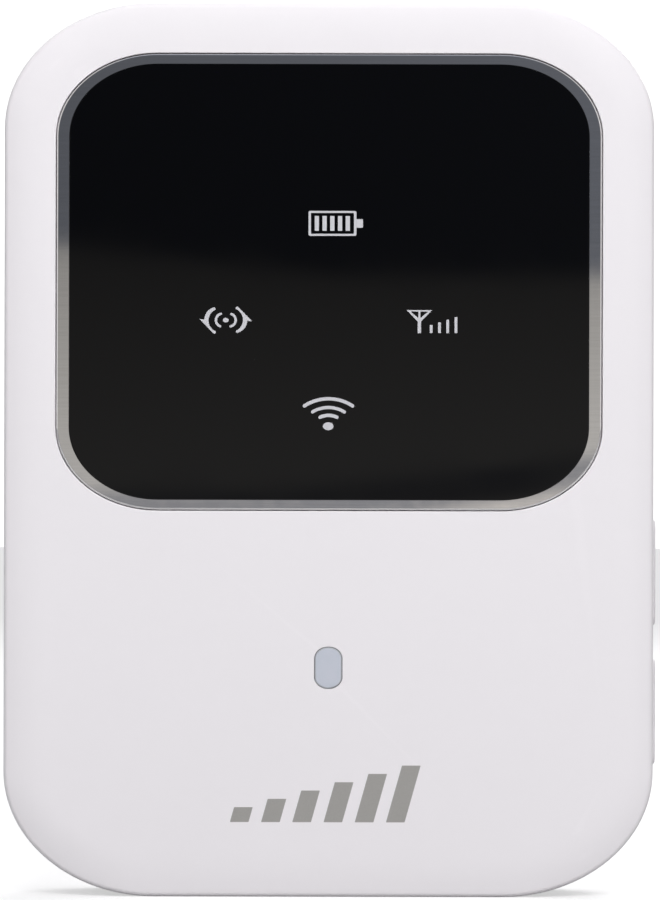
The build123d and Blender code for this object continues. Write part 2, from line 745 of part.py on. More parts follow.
def rear_housing():
    """The middle frame: band, deck, battery tray, screw sleeves, key slots and socket mouth."""
    housing = housing_band() - housing_hollow()
    housing += battery_tray()
    for x, z in screw_places():
        housing += rod(x, z, SLEEVE_RADIUS, BOSS_END + 0.1, DECK_BACK - DECK_THICKNESS)
    housing -= bay_space()
    housing -= card_window(SIM_X, SIM_BOTTOM, SIM_WIDTH)
    housing -= card_window(CARD_X, CARD_BOTTOM, CARD_WIDTH)
    for x, z in screw_places():
        housing -= rod(x, z, SHANK_RADIUS + 0.15, BOSS_END, DECK_BACK)
        housing -= rod(x, z, HEAD_RADIUS + 0.2, DECK_BACK - HEAD_HEIGHT - 0.2, DECK_BACK)
    for x in CONTACT_PLACES:
        housing -= block(x - 0.7, x + 0.7, 1.8, 3.0, BAY_BOTTOM - BAY_WALL, BAY_BOTTOM)
    for z in (POWER_KEY_Z, WPS_KEY_Z):
        slot = side_outline(KEY_LENGTH + 2 * KEY_FIT, KEY_DEPTH + 2 * KEY_FIT, KEY_END_RADIUS + KEY_FIT, z)
        housing -= side_slab(slot, SIDE - WALL - 1.0, SIDE + 1.0)
    mouth_half = USB_WIDTH / 2 + USB_MOUTH
    housing -= block(-mouth_half, mouth_half, USB_Y - USB_DEPTH / 2 - USB_MOUTH, LEDGE, 0.0, WALL + 0.1)
    for sign in (-1, 1):
        for z in CLIP_HEIGHTS:
            housing -= clip_room(sign, z)
    return housing


def housing_screws():
    """Four pan-head screws, each with a cross recess."""
    screws = []
    head_front = DECK_BACK - HEAD_HEIGHT - 0.2
    head_back = head_front + HEAD_HEIGHT
    for x, z in screw_places():
        head = rod(x, z, HEAD_RADIUS, head_front, head_back)
        head = fillet(back_edges(head), 0.3)
        screw = head + rod(x, z, SHANK_RADIUS, SCREW_TIP, head_front)
        screw -= block(x - 0.9, x + 0.9, head_back - 0.5, head_back, z - 0.16, z + 0.16)
        screw -= block(x - 0.16, x + 0.16, head_back - 0.5, head_back, z - 0.9, z + 0.9)
        screws.append(screw)
    return group(screws)


# ---------- battery ----------

def battery_pack():
    """The removable flat cell, with softened long edges and pockets for its pads and label."""
    half = BATTERY_WIDTH / 2
    cell = block(-half, half, BATTERY_FRONT, BATTERY_BACK, BATTERY_BOTTOM, BATTERY_TOP)
    cell = fillet(cell.edges().filter_by(Axis.Z), 1.0)
    cell = fillet(back_edges(cell) + front_edges(cell), 0.25)
    for x in CONTACT_PLACES:
        cell -= terminal_pad(x)
    return cell


def terminal_pad(x):
    """One contact pad in the battery's lower end."""
    return block(x - 0.9, x + 0.9, 1.9, 3.6, BATTERY_BOTTOM, BATTERY_BOTTOM + 0.2)


def battery_terminals():
    """The battery's three gold pads."""
    return group([terminal_pad(x) for x in CONTACT_PLACES])


def battery_label():
    """A blank label on the battery's back."""
    return rounded_block(
        -21.0, 21.0, BATTERY_BACK, BATTERY_BACK + LABEL, BATTERY_BOTTOM + 7.0, BATTERY_TOP - 9.0, 1.0
    )


def bay_label():
    """A blank label on the bay floor."""
    return rounded_block(
        -20.0, 20.0, BAY_FLOOR_BACK, BAY_FLOOR_BACK + LABEL, BAY_BOTTOM + 8.0, SIM_BOTTOM - 4.0, 1.0
    )


# ---------- battery cover ----------

def side_block(sign, near, far, front, back, z, length):
    """A box at the left (-1) or right (1) side, from its two distances in from the case's side."""
    left, right = sorted((sign * (SIDE - near), sign * (SIDE - far)))
    return block(left, right, front, back, z - length / 2, z + length / 2)


def clip(sign, z):
    """One cover clip: a rib on the cover's side wall and a tip that reaches behind the band."""
    inner = CLIP_INSET + CLIP_THICKNESS
    rib_front = BACK_SEAM + 0.1
    rib = side_block(sign, COVER_WALL, inner, rib_front, COVER_INSIDE, z, CLIP_LENGTH)
    tip = side_block(sign, CLIP_INSET, inner, CLIP_TIP, rib_front, z, CLIP_LENGTH)
    return rib + tip


def clip_room(sign, z):
    """The notch in the housing that a clip moves in."""
    inner = CLIP_INSET + CLIP_THICKNESS + CLIP_ROOM
    length = CLIP_LENGTH + 2 * CLIP_ROOM
    tip_room = side_block(sign, CLIP_INSET - SEAM_GAP, inner, CLIP_TIP - CLIP_ROOM, BACK_SEAM, z, length)
    rib_room = side_block(sign, COVER_WALL, inner, BACK_SEAM - SEAM_GAP, DECK_BACK, z, length)
    return tip_room + rib_room


def battery_cover():
    """The clip-on back: a shallow tray with softened edges, four clips and a thumbnail notch."""
    cover = slab(case_outline(), BACK_SEAM, BACK)
    cover = fillet(back_edges(cover), BACK_EDGE_RADIUS)
    cover -= slab(case_outline(COVER_WALL), BACK_SEAM, COVER_INSIDE)
    for sign in (-1, 1):
        for z in CLIP_HEIGHTS:
            cover += clip(sign, z)
    cover -= side_block(-1, -1.0, NOTCH_DEPTH, BACK_SEAM, BACK_SEAM + NOTCH_WIDTH, NOTCH_Z, NOTCH_LENGTH)
    return cover


# ---------- antennas ----------

def antenna(left, right, bottom, top, slots, feed_x):
    """A stamped strip under the deck, folded back and forth by slots, with a feed leg to the board."""
    roof = DECK_BACK - DECK_THICKNESS
    front = roof - ANTENNA_SHEET
    strip = block(left, right, front, roof, bottom, top)
    pitch = (right - left) / (slots + 1)
    for index in range(slots):
        x = left + pitch * (index + 1)
        low, high = (bottom, top - 1.2) if index % 2 else (bottom + 1.2, top)
        strip -= block(x - 0.3, x + 0.3, front, roof, low, high)
    leg = block(feed_x - 0.6, feed_x + 0.6, BOARD_BACK, front, bottom, bottom + ANTENNA_SHEET)
    return strip + leg


def build():
    """Every node of the hotspot."""
    return {
        "front_shell": front_shell(),
        "window_trim_ring": window_trim_ring(),
        "display_window": display_window(),
        "window_adhesive": window_adhesive(),
        "battery_icon": battery_icon(),
        "data_icon": data_icon(),
        "signal_icon": signal_icon(),
        "wireless_icon": wireless_icon(),
        "front_emblem": front_emblem(),
        "status_lens": status_lens(),
        "light_diffuser": light_diffuser(),
        "light_guide_frame": light_guide_frame(),
        "main_board": main_board(),
        "indicator_leds": indicator_leds(),
        "baseband_shield": shield_can(*BASEBAND_CAN),
        "baseband_chip": chip(*BASEBAND_CHIP),
        "memory_chip": chip(*MEMORY_CHIP),
        "rf_shield": shield_can(*RF_CAN),
        "rf_chip": chip(*RF_CHIP),
        "power_chip": chip(*POWER_CHIP),
        "wifi_shield": shield_can(*WIFI_CAN),
        "wifi_chip": chip(*WIFI_CHIP),
        "board_parts": board_parts(),
        "usb_shell": usb_shell(),
        "usb_tongue": usb_tongue(),
        "sim_socket": card_socket(SIM_X, SIM_BOTTOM, SIM_WIDTH, SIM_LENGTH),
        "sim_contacts": sim_contacts(),
        "memory_card_socket": card_socket(CARD_X, CARD_BOTTOM, CARD_WIDTH, CARD_LENGTH),
        "battery_connector": battery_connector(),
        "battery_contacts": battery_contacts(),
        "power_button": key(POWER_KEY_Z),
        "wps_button": key(WPS_KEY_Z),
        "power_switch": key_switch(POWER_KEY_Z),
        "wps_switch": key_switch(WPS_KEY_Z),
        "power_plunger": key_plunger(POWER_KEY_Z),
        "wps_plunger": key_plunger(WPS_KEY_Z),
        "rear_housing": rear_housing(),
        "housing_screws": housing_screws(),
        "battery_pack": battery_pack(),
        "battery_terminals": battery_terminals(),
        "battery_label": battery_label(),
        "bay_label": bay_label(),
        "battery_cover": battery_cover(),
        "main_antenna": antenna(*MAIN_ANTENNA),
        "diversity_antenna": antenna(*DIVERSITY_ANTENNA),
        "wifi_antenna": antenna(*WIFI_ANTENNA),
    }


os.makedirs("parts", exist_ok=True)
for name, shape in build().items():
    export_step(shape, f"parts/{name}.step")
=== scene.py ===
import json
import math

import bmesh
import bpy
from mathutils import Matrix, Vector


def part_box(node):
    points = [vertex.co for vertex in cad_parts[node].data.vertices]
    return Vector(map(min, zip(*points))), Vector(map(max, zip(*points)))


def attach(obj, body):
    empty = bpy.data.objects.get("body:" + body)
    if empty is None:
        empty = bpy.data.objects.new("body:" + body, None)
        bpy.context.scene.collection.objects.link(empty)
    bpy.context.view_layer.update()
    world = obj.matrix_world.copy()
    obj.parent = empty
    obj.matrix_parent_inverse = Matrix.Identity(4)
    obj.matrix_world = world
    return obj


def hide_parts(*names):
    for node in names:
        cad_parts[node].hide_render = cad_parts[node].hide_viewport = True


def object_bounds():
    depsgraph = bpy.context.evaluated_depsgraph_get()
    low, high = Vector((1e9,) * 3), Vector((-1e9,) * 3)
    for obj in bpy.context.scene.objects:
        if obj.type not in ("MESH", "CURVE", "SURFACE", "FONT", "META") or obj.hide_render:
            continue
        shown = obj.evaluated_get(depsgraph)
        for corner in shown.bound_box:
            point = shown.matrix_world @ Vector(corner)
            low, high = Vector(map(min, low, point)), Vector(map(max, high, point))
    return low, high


# The looks of a pocket mobile hotspot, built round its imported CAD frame.
# Metres, in the frame's own axes: +X right seen from the front, +Y from front to back, +Z up.

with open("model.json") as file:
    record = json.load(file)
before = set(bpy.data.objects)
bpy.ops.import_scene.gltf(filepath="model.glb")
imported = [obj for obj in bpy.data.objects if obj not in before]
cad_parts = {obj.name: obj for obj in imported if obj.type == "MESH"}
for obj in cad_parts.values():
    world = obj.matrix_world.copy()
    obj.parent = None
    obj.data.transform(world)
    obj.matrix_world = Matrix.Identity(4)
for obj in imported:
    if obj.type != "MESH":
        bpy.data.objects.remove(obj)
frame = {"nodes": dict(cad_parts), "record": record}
cad_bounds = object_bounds()

MM = 0.001
CORNER_STEPS = 28
LEAST_RADIUS = 0.02 * MM
WELD = 0.0005 * MM

# ---------- places and sizes, taken from the frame ----------

SHELL_LOW, SHELL_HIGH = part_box("front_shell")
COVER_LOW, COVER_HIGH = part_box("battery_cover")
RING_LOW, RING_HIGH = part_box("window_trim_ring")
PANEL_LOW, PANEL_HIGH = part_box("display_window")
LENS_LOW, LENS_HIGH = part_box("status_lens")
EMBLEM_LOW, EMBLEM_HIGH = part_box("front_emblem")

# The emblem's bars lean, so the middle of their feet is left of the middle of its box.
EMBLEM_HALF_LEAN = 0.852 * MM
EMBLEM_FEET = (EMBLEM_LOW.x + EMBLEM_HIGH.x) / 2 - EMBLEM_HALF_LEAN

CASE_WIDTH = SHELL_HIGH.x - SHELL_LOW.x
CASE_HEIGHT = SHELL_HIGH.z - SHELL_LOW.z
CASE_MIDDLE = (SHELL_HIGH.z + SHELL_LOW.z) / 2
CASE_CORNER = (16.2 * MM, 13.4 * MM)
FRONT = SHELL_LOW.y
FRONT_SEAM = -2.9 * MM
BACK_SEAM = 2.1 * MM
BACK = COVER_HIGH.y

RING_MIDDLE = (RING_LOW.z + RING_HIGH.z) / 2
RING_SIZE = (RING_HIGH.x - RING_LOW.x, RING_HIGH.z - RING_LOW.z)
RING_CORNER = (10.88 * MM, 8.88 * MM)
RING_GAP = 0.11 * MM
RING_FRONT = RING_LOW.y
PANEL_FRONT = PANEL_LOW.y
PANEL_SIZE = (PANEL_HIGH.x - PANEL_LOW.x, PANEL_HIGH.z - PANEL_LOW.z)

BAND_SIDE = 1.33 * MM
BAND_END = 1.06 * MM
BAND_EDGE = 0.17 * MM

LENS_MIDDLE = (LENS_LOW.z + LENS_HIGH.z) / 2
LENS_SIZE = (3.04 * MM, 4.53 * MM)
LENS_CORNER = (1.48 * MM, 1.28 * MM)


# ---------- mesh helpers ----------

def loop(size, corner, middle, inset=(0.0, 0.0), steps=CORNER_STEPS):
    """Points of an outline with elliptical corners, as (x, z) pairs, counter-clockwise from the front."""
    half_x = size[0] / 2 - inset[0]
    half_z = size[1] / 2 - inset[1]
    radius_x = min(max(corner[0] - inset[0], LEAST_RADIUS), half_x)
    radius_z = min(max(corner[1] - inset[1], LEAST_RADIUS), half_z)
    points = []
    for turn, (sx, sz) in enumerate(((1, 1), (-1, 1), (-1, -1), (1, -1))):
        for step in range(steps + 1):
            angle = math.pi / 2 * (turn + step / steps)
            x = middle[0] + sx * (half_x - radius_x) + radius_x * math.cos(angle)
            z = middle[1] + sz * (half_z - radius_z) + radius_z * math.sin(angle)
            points.append((x, z))
    return points


def case_loop(inset):
    """The case's outline, drawn in by an even margin."""
    return loop((CASE_WIDTH, CASE_HEIGHT), CASE_CORNER, (0.0, CASE_MIDDLE), (inset, inset))


def ring_loop(side, end):
    """The trim ring's outline, drawn in by one margin at the sides and another at the ends."""
    return loop(RING_SIZE, RING_CORNER, (0.0, RING_MIDDLE), (side, end))


def lens_loop(inset):
    """The status lens opening's outline, drawn in by an even margin."""
    return loop(LENS_SIZE, LENS_CORNER, (0.0, LENS_MIDDLE), (inset, inset), 16)


def add_ring(bm, points, depth):
    """New vertices in the order given, at one depth or at a depth for each point."""
    depths = depth if isinstance(depth, list) else [depth] * len(points)
    return [bm.verts.new((x, y, z)) for (x, z), y in zip(points, depths)]


def join_rings(bm, first, second):
    """A band of quads between two rings of vertices."""
    count = len(first)
    for i in range(count):
        j = (i + 1) % count
        bm.faces.new((first[i], first[j], second[j], second[i]))


def add_loft(bm, rings, closed=False):
    """Bands of quads through a list of (points, depth) rings. Returns the first and last ring's vertices."""
    made = [add_ring(bm, points, y) for points, y in rings]
    for first, second in zip(made, made[1:]):
        join_rings(bm, first, second)
    if closed:
        join_rings(bm, made[-1], made[0])
    return made[0], made[-1]


def ring_edges(bm, ring):
    """The edges that run round a ring of vertices."""
    count = len(ring)
    return [bm.edges.get((ring[i], ring[(i + 1) % count])) for i in range(count)]


def fill_between(bm, rings):
    """A flat face bounded by an outer ring and cut by the rings inside it."""
    edges = [edge for ring in rings for edge in ring_edges(bm, ring)]
    bmesh.ops.triangle_fill(bm, use_beauty=True, use_dissolve=False, edges=edges)


def make_object(bm, name, material, body, slot, *nodes, smooth=True):
    """A finished piece: welded, normals outwards, with its material, its body and the nodes it replaces."""
    bmesh.ops.remove_doubles(bm, verts=bm.verts, dist=WELD)
    bmesh.ops.recalc_face_normals(bm, faces=bm.faces)
    for face in bm.faces:
        face.smooth = smooth
    mesh = bpy.data.meshes.new(name)
    bm.to_mesh(mesh)
    bm.free()
    piece = bpy.data.objects.new(name, mesh)
    bpy.context.scene.collection.objects.link(piece)
    piece.data.materials.append(material)
    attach(piece, body)
    if nodes:
        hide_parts(*nodes)
    return piece


def sharpen(piece, degrees):
    """Keeps edges that turn by more than an angle crisp, and the rest smooth."""
    limit = math.radians(degrees)
    bm = bmesh.new()
    bm.from_mesh(piece.data)
    for edge in bm.edges:
        if len(edge.link_faces) == 2:
            edge.smooth = edge.calc_face_angle() < limit
    bm.to_mesh(piece.data)
    bm.free()


def arc(start, end, steps):
    """Angles in radians from start to end degrees."""
    return [math.radians(start + (end - start) * i / steps) for i in range(steps + 1)]


def shrink(points, amount):
    """An outline moved inwards by a small amount, corner by corner."""
    moved = []
    following = points[1:] + points[:1]
    turn = sum(x * next_z - next_x * z for (x, z), (next_x, next_z) in zip(points, following))
    sign = 1 if turn > 0 else -1
    for corners in zip(points[-1:] + points[:-1], points, following):
        before, here, after = (Vector(corner) for corner in corners)
        into = (here - before).normalized()
        out = (after - here).normalized()
        normal = Vector((-(into + out).y, (into + out).x))
        if normal.length < 1e-9:
            normal = Vector((-into.y, into.x))
        normal.normalize()
        spread = max(0.4, normal.dot(Vector((-into.y, into.x))))
        moved.append(tuple(here + normal * (sign * amount / spread)))
    return moved


# ---------- node helpers ----------

class Nodes:
    """A node tree with short ways to add to it. A value is a number, a colour or another node's output."""

    def __init__(self, owner):
        owner.use_nodes = True
        self.tree = owner.node_tree
        self.tree.nodes.clear()

    def feed(self, socket, value):
        if isinstance(value, bpy.types.NodeSocket):
            self.tree.links.new(value, socket)
        elif isinstance(value, tuple) and socket.type == "RGBA":
            socket.default_value = (*value, 1.0)
        else:
            socket.default_value = value

    def add(self, kind, *settings):
        """A new node, with its (socket, value) settings."""
        node = self.tree.nodes.new(kind)
        for socket, value in settings:
            self.feed(node.inputs[socket], value)
        return node

    def math(self, operation, first, second=0.0):
        node = self.add("ShaderNodeMath", (0, first), (1, second))
        node.operation = operation
        return node.outputs[0]

    def mix(self, factor, first, second):
        """The first colour, turning into the second as the factor goes from 0 to 1."""
        node = self.add("ShaderNodeMix")
        node.data_type = "RGBA"
        for name, value in (("Factor", factor), ("A", first), ("B", second)):
            self.feed(next(s for s in node.inputs if s.name == name and s.enabled), value)
        return next(s for s in node.outputs if s.enabled)

    def ramp(self, value, start, end, low, high, smooth=False):
        """From low to high as the value goes from start to end, and level outside them."""
        limits = (("From Min", start), ("From Max", end), ("To Min", low), ("To Max", high))
        node = self.add("ShaderNodeMapRange", ("Value", value), *limits)
        node.interpolation_type = "SMOOTHSTEP" if smooth else "LINEAR"
        return node.outputs["Result"]


UPRIGHT = (-90.0, 0.0, 0.0)


class Shader(Nodes):
    """A material with one Principled shader. Its textures are sized in millimetres."""

    def __init__(self, name, color, roughness, metallic=0.0):
        self.material = bpy.data.materials.new(name)
        super().__init__(self.material)
        finish = (("Base Color", color), ("Roughness", roughness), ("Metallic", metallic))
        self.bsdf = self.add("ShaderNodeBsdfPrincipled", *finish)
        self.output = self.add("ShaderNodeOutputMaterial", ("Surface", self.bsdf.outputs["BSDF"]))
        self.coordinates = self.add("ShaderNodeTexCoord").outputs["Object"]

    def set(self, socket, value):
        self.feed(self.bsdf.inputs[socket], value)

    def stretched(self, scale=(1.0, 1.0, 1.0), turn=(0.0, 0.0, 0.0)):
        """Object coordinates in millimetres, scaled along each axis and turned about it in degrees."""
        sizes = ("Scale", [s / MM for s in scale])
        turns = ("Rotation", [math.radians(t) for t in turn])
        return self.add("ShaderNodeMapping", ("Vector", self.coordinates), sizes, turns).outputs["Vector"]

    def noise(self, per_mm, detail=3.0, stretch=(1.0, 1.0, 1.0)):
        vector = ("Vector", self.stretched(stretch))
        return self.add("ShaderNodeTexNoise", vector, ("Scale", per_mm), ("Detail", detail)).outputs["Fac"]

    def cells(self, per_mm, stretch=(1.0, 1.0, 1.0)):
        return self.add("ShaderNodeTexVoronoi", ("Vector", self.stretched(stretch)), ("Scale", per_mm))

    def bricks(self, first, second, mortar, gap, width, height):
        """Bricks in rows along an upright face, with the size of the gap and of one brick."""
        colors = (("Color1", first), ("Color2", second), ("Mortar", mortar))
        sizes = (("Scale", 1.0), ("Mortar Size", gap), ("Brick Width", width), ("Row Height", height))
        return self.add("ShaderNodeTexBrick", ("Vector", self.stretched(turn=UPRIGHT)), *colors, *sizes)

    def remap(self, value, low, high, start=0.3, end=0.7):
        return self.ramp(value, start, end, low, high)

    def edges(self):
        """1 on sharp outside edges, 0 on flat and hollow places."""
        return self.remap(self.add("ShaderNodeNewGeometry").outputs["Pointiness"], 0.0, 1.0, 0.52, 0.62)

    def bump(self, height, distance_mm, strength=1.0):
        depth = (("Distance", distance_mm * MM), ("Strength", strength))
        self.set("Normal", self.add("ShaderNodeBump", ("Height", height), *depth).outputs["Normal"])


def tone(color, amount):
    """A colour made darker or lighter, never past white."""
    return tuple(min(1.0, c * amount) for c in color)


# ---------- finishes of the outer pieces ----------

PANEL_BLACK = (0.0001, 0.0001, 0.0005)


def plastic(name, color, roughness, grain_mm=0.35, grain_depth=0.0006, worn=(0.0, 0.0), mottle=0.02):
    """Moulded plastic: faint cloudy colour, uneven gloss, a fine skin texture and duller edges."""
    shader = Shader(name, color, roughness)
    cloud = shader.remap(shader.noise(0.06, 4.0), 0.0, 1.0, 0.1, 0.9)
    shaded = shader.mix(cloud, tone(color, 1.0 - mottle), color)
    shader.set("Base Color", shader.mix(shader.edges(), shaded, tone(color, 1.0 + worn[0])))
    smear = shader.remap(shader.noise(0.25, 5.0), roughness * 0.87, roughness * 1.13)
    shader.set("Roughness", shader.math("ADD", smear, shader.math("MULTIPLY", shader.edges(), worn[1])))
    shader.bump(shader.noise(1.0 / grain_mm, 2.0), grain_depth)
    return shader.material


def white_plastic():
    return plastic("white_plastic", (0.874, 0.850, 0.872), 0.34, worn=(0.01, 0.05), mottle=0.006)


def silver_trim():
    """Plated trim: near mirror, with fine lines across it and slightly uneven tone."""
    shader = Shader("silver_trim", (0.86, 0.85, 0.85), 0.045, 1.0)
    lines = shader.noise(0.6, 2.0, (0.2, 0.2, 9.0))
    plated = shader.mix(shader.remap(lines, 0.0, 1.0), (0.84, 0.83, 0.83), (0.90, 0.89, 0.89))
    shader.set("Base Color", plated)
    shader.set("Roughness", shader.remap(shader.noise(0.8, 3.0), 0.018, 0.034))
    shader.bump(lines, 0.00001)
    return shader.material


def black_gloss():
    """Window panel: deep black under a polished face, with a few specks of dust."""
    shader = Shader("black_gloss", PANEL_BLACK, 0.03)
    dust = shader.remap(shader.cells(0.16).outputs["Distance"], 1.0, 0.0, 0.008, 0.014)
    shader.set("Base Color", shader.mix(dust, PANEL_BLACK, (0.05, 0.05, 0.05)))
    shader.set("Roughness", shader.math("ADD", shader.remap(shader.noise(0.12, 4.0), 0.022, 0.04), dust))
    shader.set("IOR", 1.43)
    return shader.material


def printed(name, color, roughness, metallic=0.0):
    """Ink: one colour with a fine screen texture."""
    shader = Shader(name, color, roughness, metallic)
    grain = shader.noise(7.0, 2.0)
    shader.set("Base Color", shader.mix(shader.remap(grain, 0.0, 1.0), tone(color, 0.95), color))
    shader.bump(grain, 0.0008)
    return shader.material


def milky(name, thin, thick):
    """Milky light-pipe plastic: cloudy blue-grey under a faint coat."""
    shader = Shader(name, thick, 0.22)
    shader.set("Base Color", shader.mix(shader.remap(shader.noise(0.5, 3.0), 0.0, 1.0), thin, thick))
    shader.set("Roughness", shader.remap(shader.noise(1.0, 3.0), 0.19, 0.25))
    shader.set("Coat Weight", 0.3)
    shader.bump(shader.noise(3.0, 2.0), 0.0006)
    return shader.material


# ---------- finishes of the pieces carried over from the CAD ----------

def metal(name, color, roughness, lines=(0.4, 0.4, 5.0), tarnish=0.16):
    """Sheet metal: fine drawn lines, cloudy tarnish and brighter rubbed edges."""
    shader = Shader(name, color, roughness, 1.0)
    drawn = shader.noise(2.0, 3.0, lines)
    cloud = shader.remap(shader.noise(0.25, 4.0), 0.0, 1.0)
    toned = shader.mix(cloud, tone(color, 1.0 - tarnish), color)
    shader.set("Base Color", shader.mix(shader.edges(), toned, tone(color, 1.12)))
    shader.set("Roughness", shader.remap(drawn, roughness * 0.87, roughness * 1.13))
    shader.bump(drawn, 0.0008)
    return shader.material


def solder_mask():
    """Circuit board: green lacquer, paler where copper tracks run under it, with a weave and gold vias."""
    lacquer, over_copper, gold = (0.006, 0.075, 0.030), (0.016, 0.150, 0.060), (0.75, 0.52, 0.20)
    shader = Shader("solder_mask", lacquer, 0.30)
    tracks = shader.bricks(lacquer, (0.008, 0.090, 0.036), over_copper, 0.16, 5.2, 0.75)
    via = shader.remap(shader.cells(0.45).outputs["Distance"], 1.0, 0.0, 0.10, 0.13)
    shader.set("Base Color", shader.mix(via, tracks.outputs["Color"], gold))
    shader.set("Metallic", via)
    shader.set("Roughness", shader.remap(shader.noise(0.4, 4.0), 0.29, 0.42))
    shader.bump(shader.math("ADD", shader.noise(6.0, 1.0), tracks.outputs["Fac"]), 0.01, 0.5)
    return shader.material


def moulded_chip():
    """Chip packages: matt black epoxy with a sparkle of filler and paler scuffed edges."""
    shader = Shader("chip_epoxy", (0.020, 0.020, 0.022), 0.55)
    filler = shader.noise(14.0, 3.0)
    body = shader.mix(shader.remap(filler, 0.0, 1.0), (0.015, 0.015, 0.017), (0.032, 0.032, 0.035))
    shader.set("Base Color", shader.mix(shader.edges(), body, (0.09, 0.09, 0.10)))
    shader.set("Roughness", shader.remap(shader.noise(0.8, 3.0), 0.45, 0.62))
    shader.bump(filler, 0.003)
    return shader.material


def ceramic_parts():
    """Small board parts: some tan ceramic, some dark ferrite, picked by place, with tinned edges."""
    shader = Shader("board_ceramics", (0.45, 0.30, 0.17), 0.45)
    pick = shader.add("ShaderNodeSeparateColor", (0, shader.cells(0.22, (1.0, 0.0, 1.0)).outputs["Color"]))
    is_ferrite = shader.remap(pick.outputs[0], 0.0, 1.0, 0.55, 0.60)
    cloud = shader.remap(shader.noise(1.5, 3.0), 0.0, 1.0)
    fired = shader.mix(cloud, (0.36, 0.23, 0.13), (0.50, 0.35, 0.20))
    body = shader.mix(is_ferrite, fired, (0.10, 0.10, 0.11))
    shader.set("Base Color", shader.mix(shader.edges(), body, (0.72, 0.70, 0.66)))
    shader.set("Roughness", shader.remap(shader.noise(1.0, 2.0), 0.35, 0.55))
    shader.bump(shader.noise(8.0, 2.0), 0.003)
    return shader.material


def lamp_phosphor():
    """Indicator lamps: a yellow phosphor window in a white body."""
    shader = Shader("lamp_phosphor", (0.85, 0.74, 0.25), 0.30)
    blotch = shader.remap(shader.noise(0.9, 3.0), 0.0, 1.0)
    shader.set("Base Color", shader.mix(blotch, (0.88, 0.70, 0.16), (0.90, 0.86, 0.66)))
    shader.set("Subsurface Weight", 0.15)
    shader.set("Subsurface Scale", 0.3 * MM)
    shader.set("Roughness", shader.remap(shader.noise(2.0, 2.0), 0.29, 0.40))
    shader.bump(shader.noise(4.0, 2.0), 0.003)
    return shader.material


def cell_wrap():
    """Battery pack: satin black film drawn tight, with long shallow wrinkles and scuffed edges."""
    film = (0.020, 0.021, 0.024)
    shader = Shader("cell_wrap", film, 0.34)
    wrinkle = shader.noise(0.25, 4.0, (2.4, 1.0, 0.25))
    scuffed = shader.mix(shader.edges(), film, (0.10, 0.10, 0.105))
    shader.set("Base Color", shader.mix(shader.remap(wrinkle, 0.0, 0.3), scuffed, (0.034, 0.035, 0.040)))
    shader.set("Roughness", shader.remap(shader.noise(0.5, 4.0), 0.29, 0.45))
    shader.bump(shader.math("ADD", wrinkle, shader.math("MULTIPLY", shader.noise(5.0, 2.0), 0.1)), 0.06, 0.5)
    return shader.material


def label(name, node, paper, ink, roughness, metallic=0.0):
    """A printed label: rows of plain bars of uneven length inside a margin, in place of words."""
    low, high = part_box(node)
    margin = 2.0 * MM
    centre = (low + high) / 2
    shader = Shader(name, paper, roughness, metallic)
    rows = shader.bricks(ink, paper, paper, 0.42, 6.1, 1.9)
    rows.offset = 0.37
    place = shader.add("ShaderNodeSeparateXYZ", (0, shader.coordinates)).outputs
    across = shader.math("ABSOLUTE", shader.math("SUBTRACT", place[0], centre.x))
    upward = shader.math("ABSOLUTE", shader.math("SUBTRACT", place[2], centre.z))
    in_width = shader.math("LESS_THAN", across, (high.x - low.x) / 2 - margin)
    in_height = shader.math("LESS_THAN", upward, (high.z - low.z) / 2 - margin)
    inside = shader.math("MULTIPLY", in_width, in_height)
    fibre = shader.noise(2.5, 4.0)
    aged = shader.mix(shader.remap(fibre, 0.0, 1.0), tone(paper, 0.90), paper)
    shader.set("Base Color", shader.mix(inside, aged, rows.outputs["Color"]))
    shader.set("Roughness", shader.remap(fibre, roughness * 0.85, roughness * 1.2))
    shader.bump(fibre, 0.004)
    return shader.material


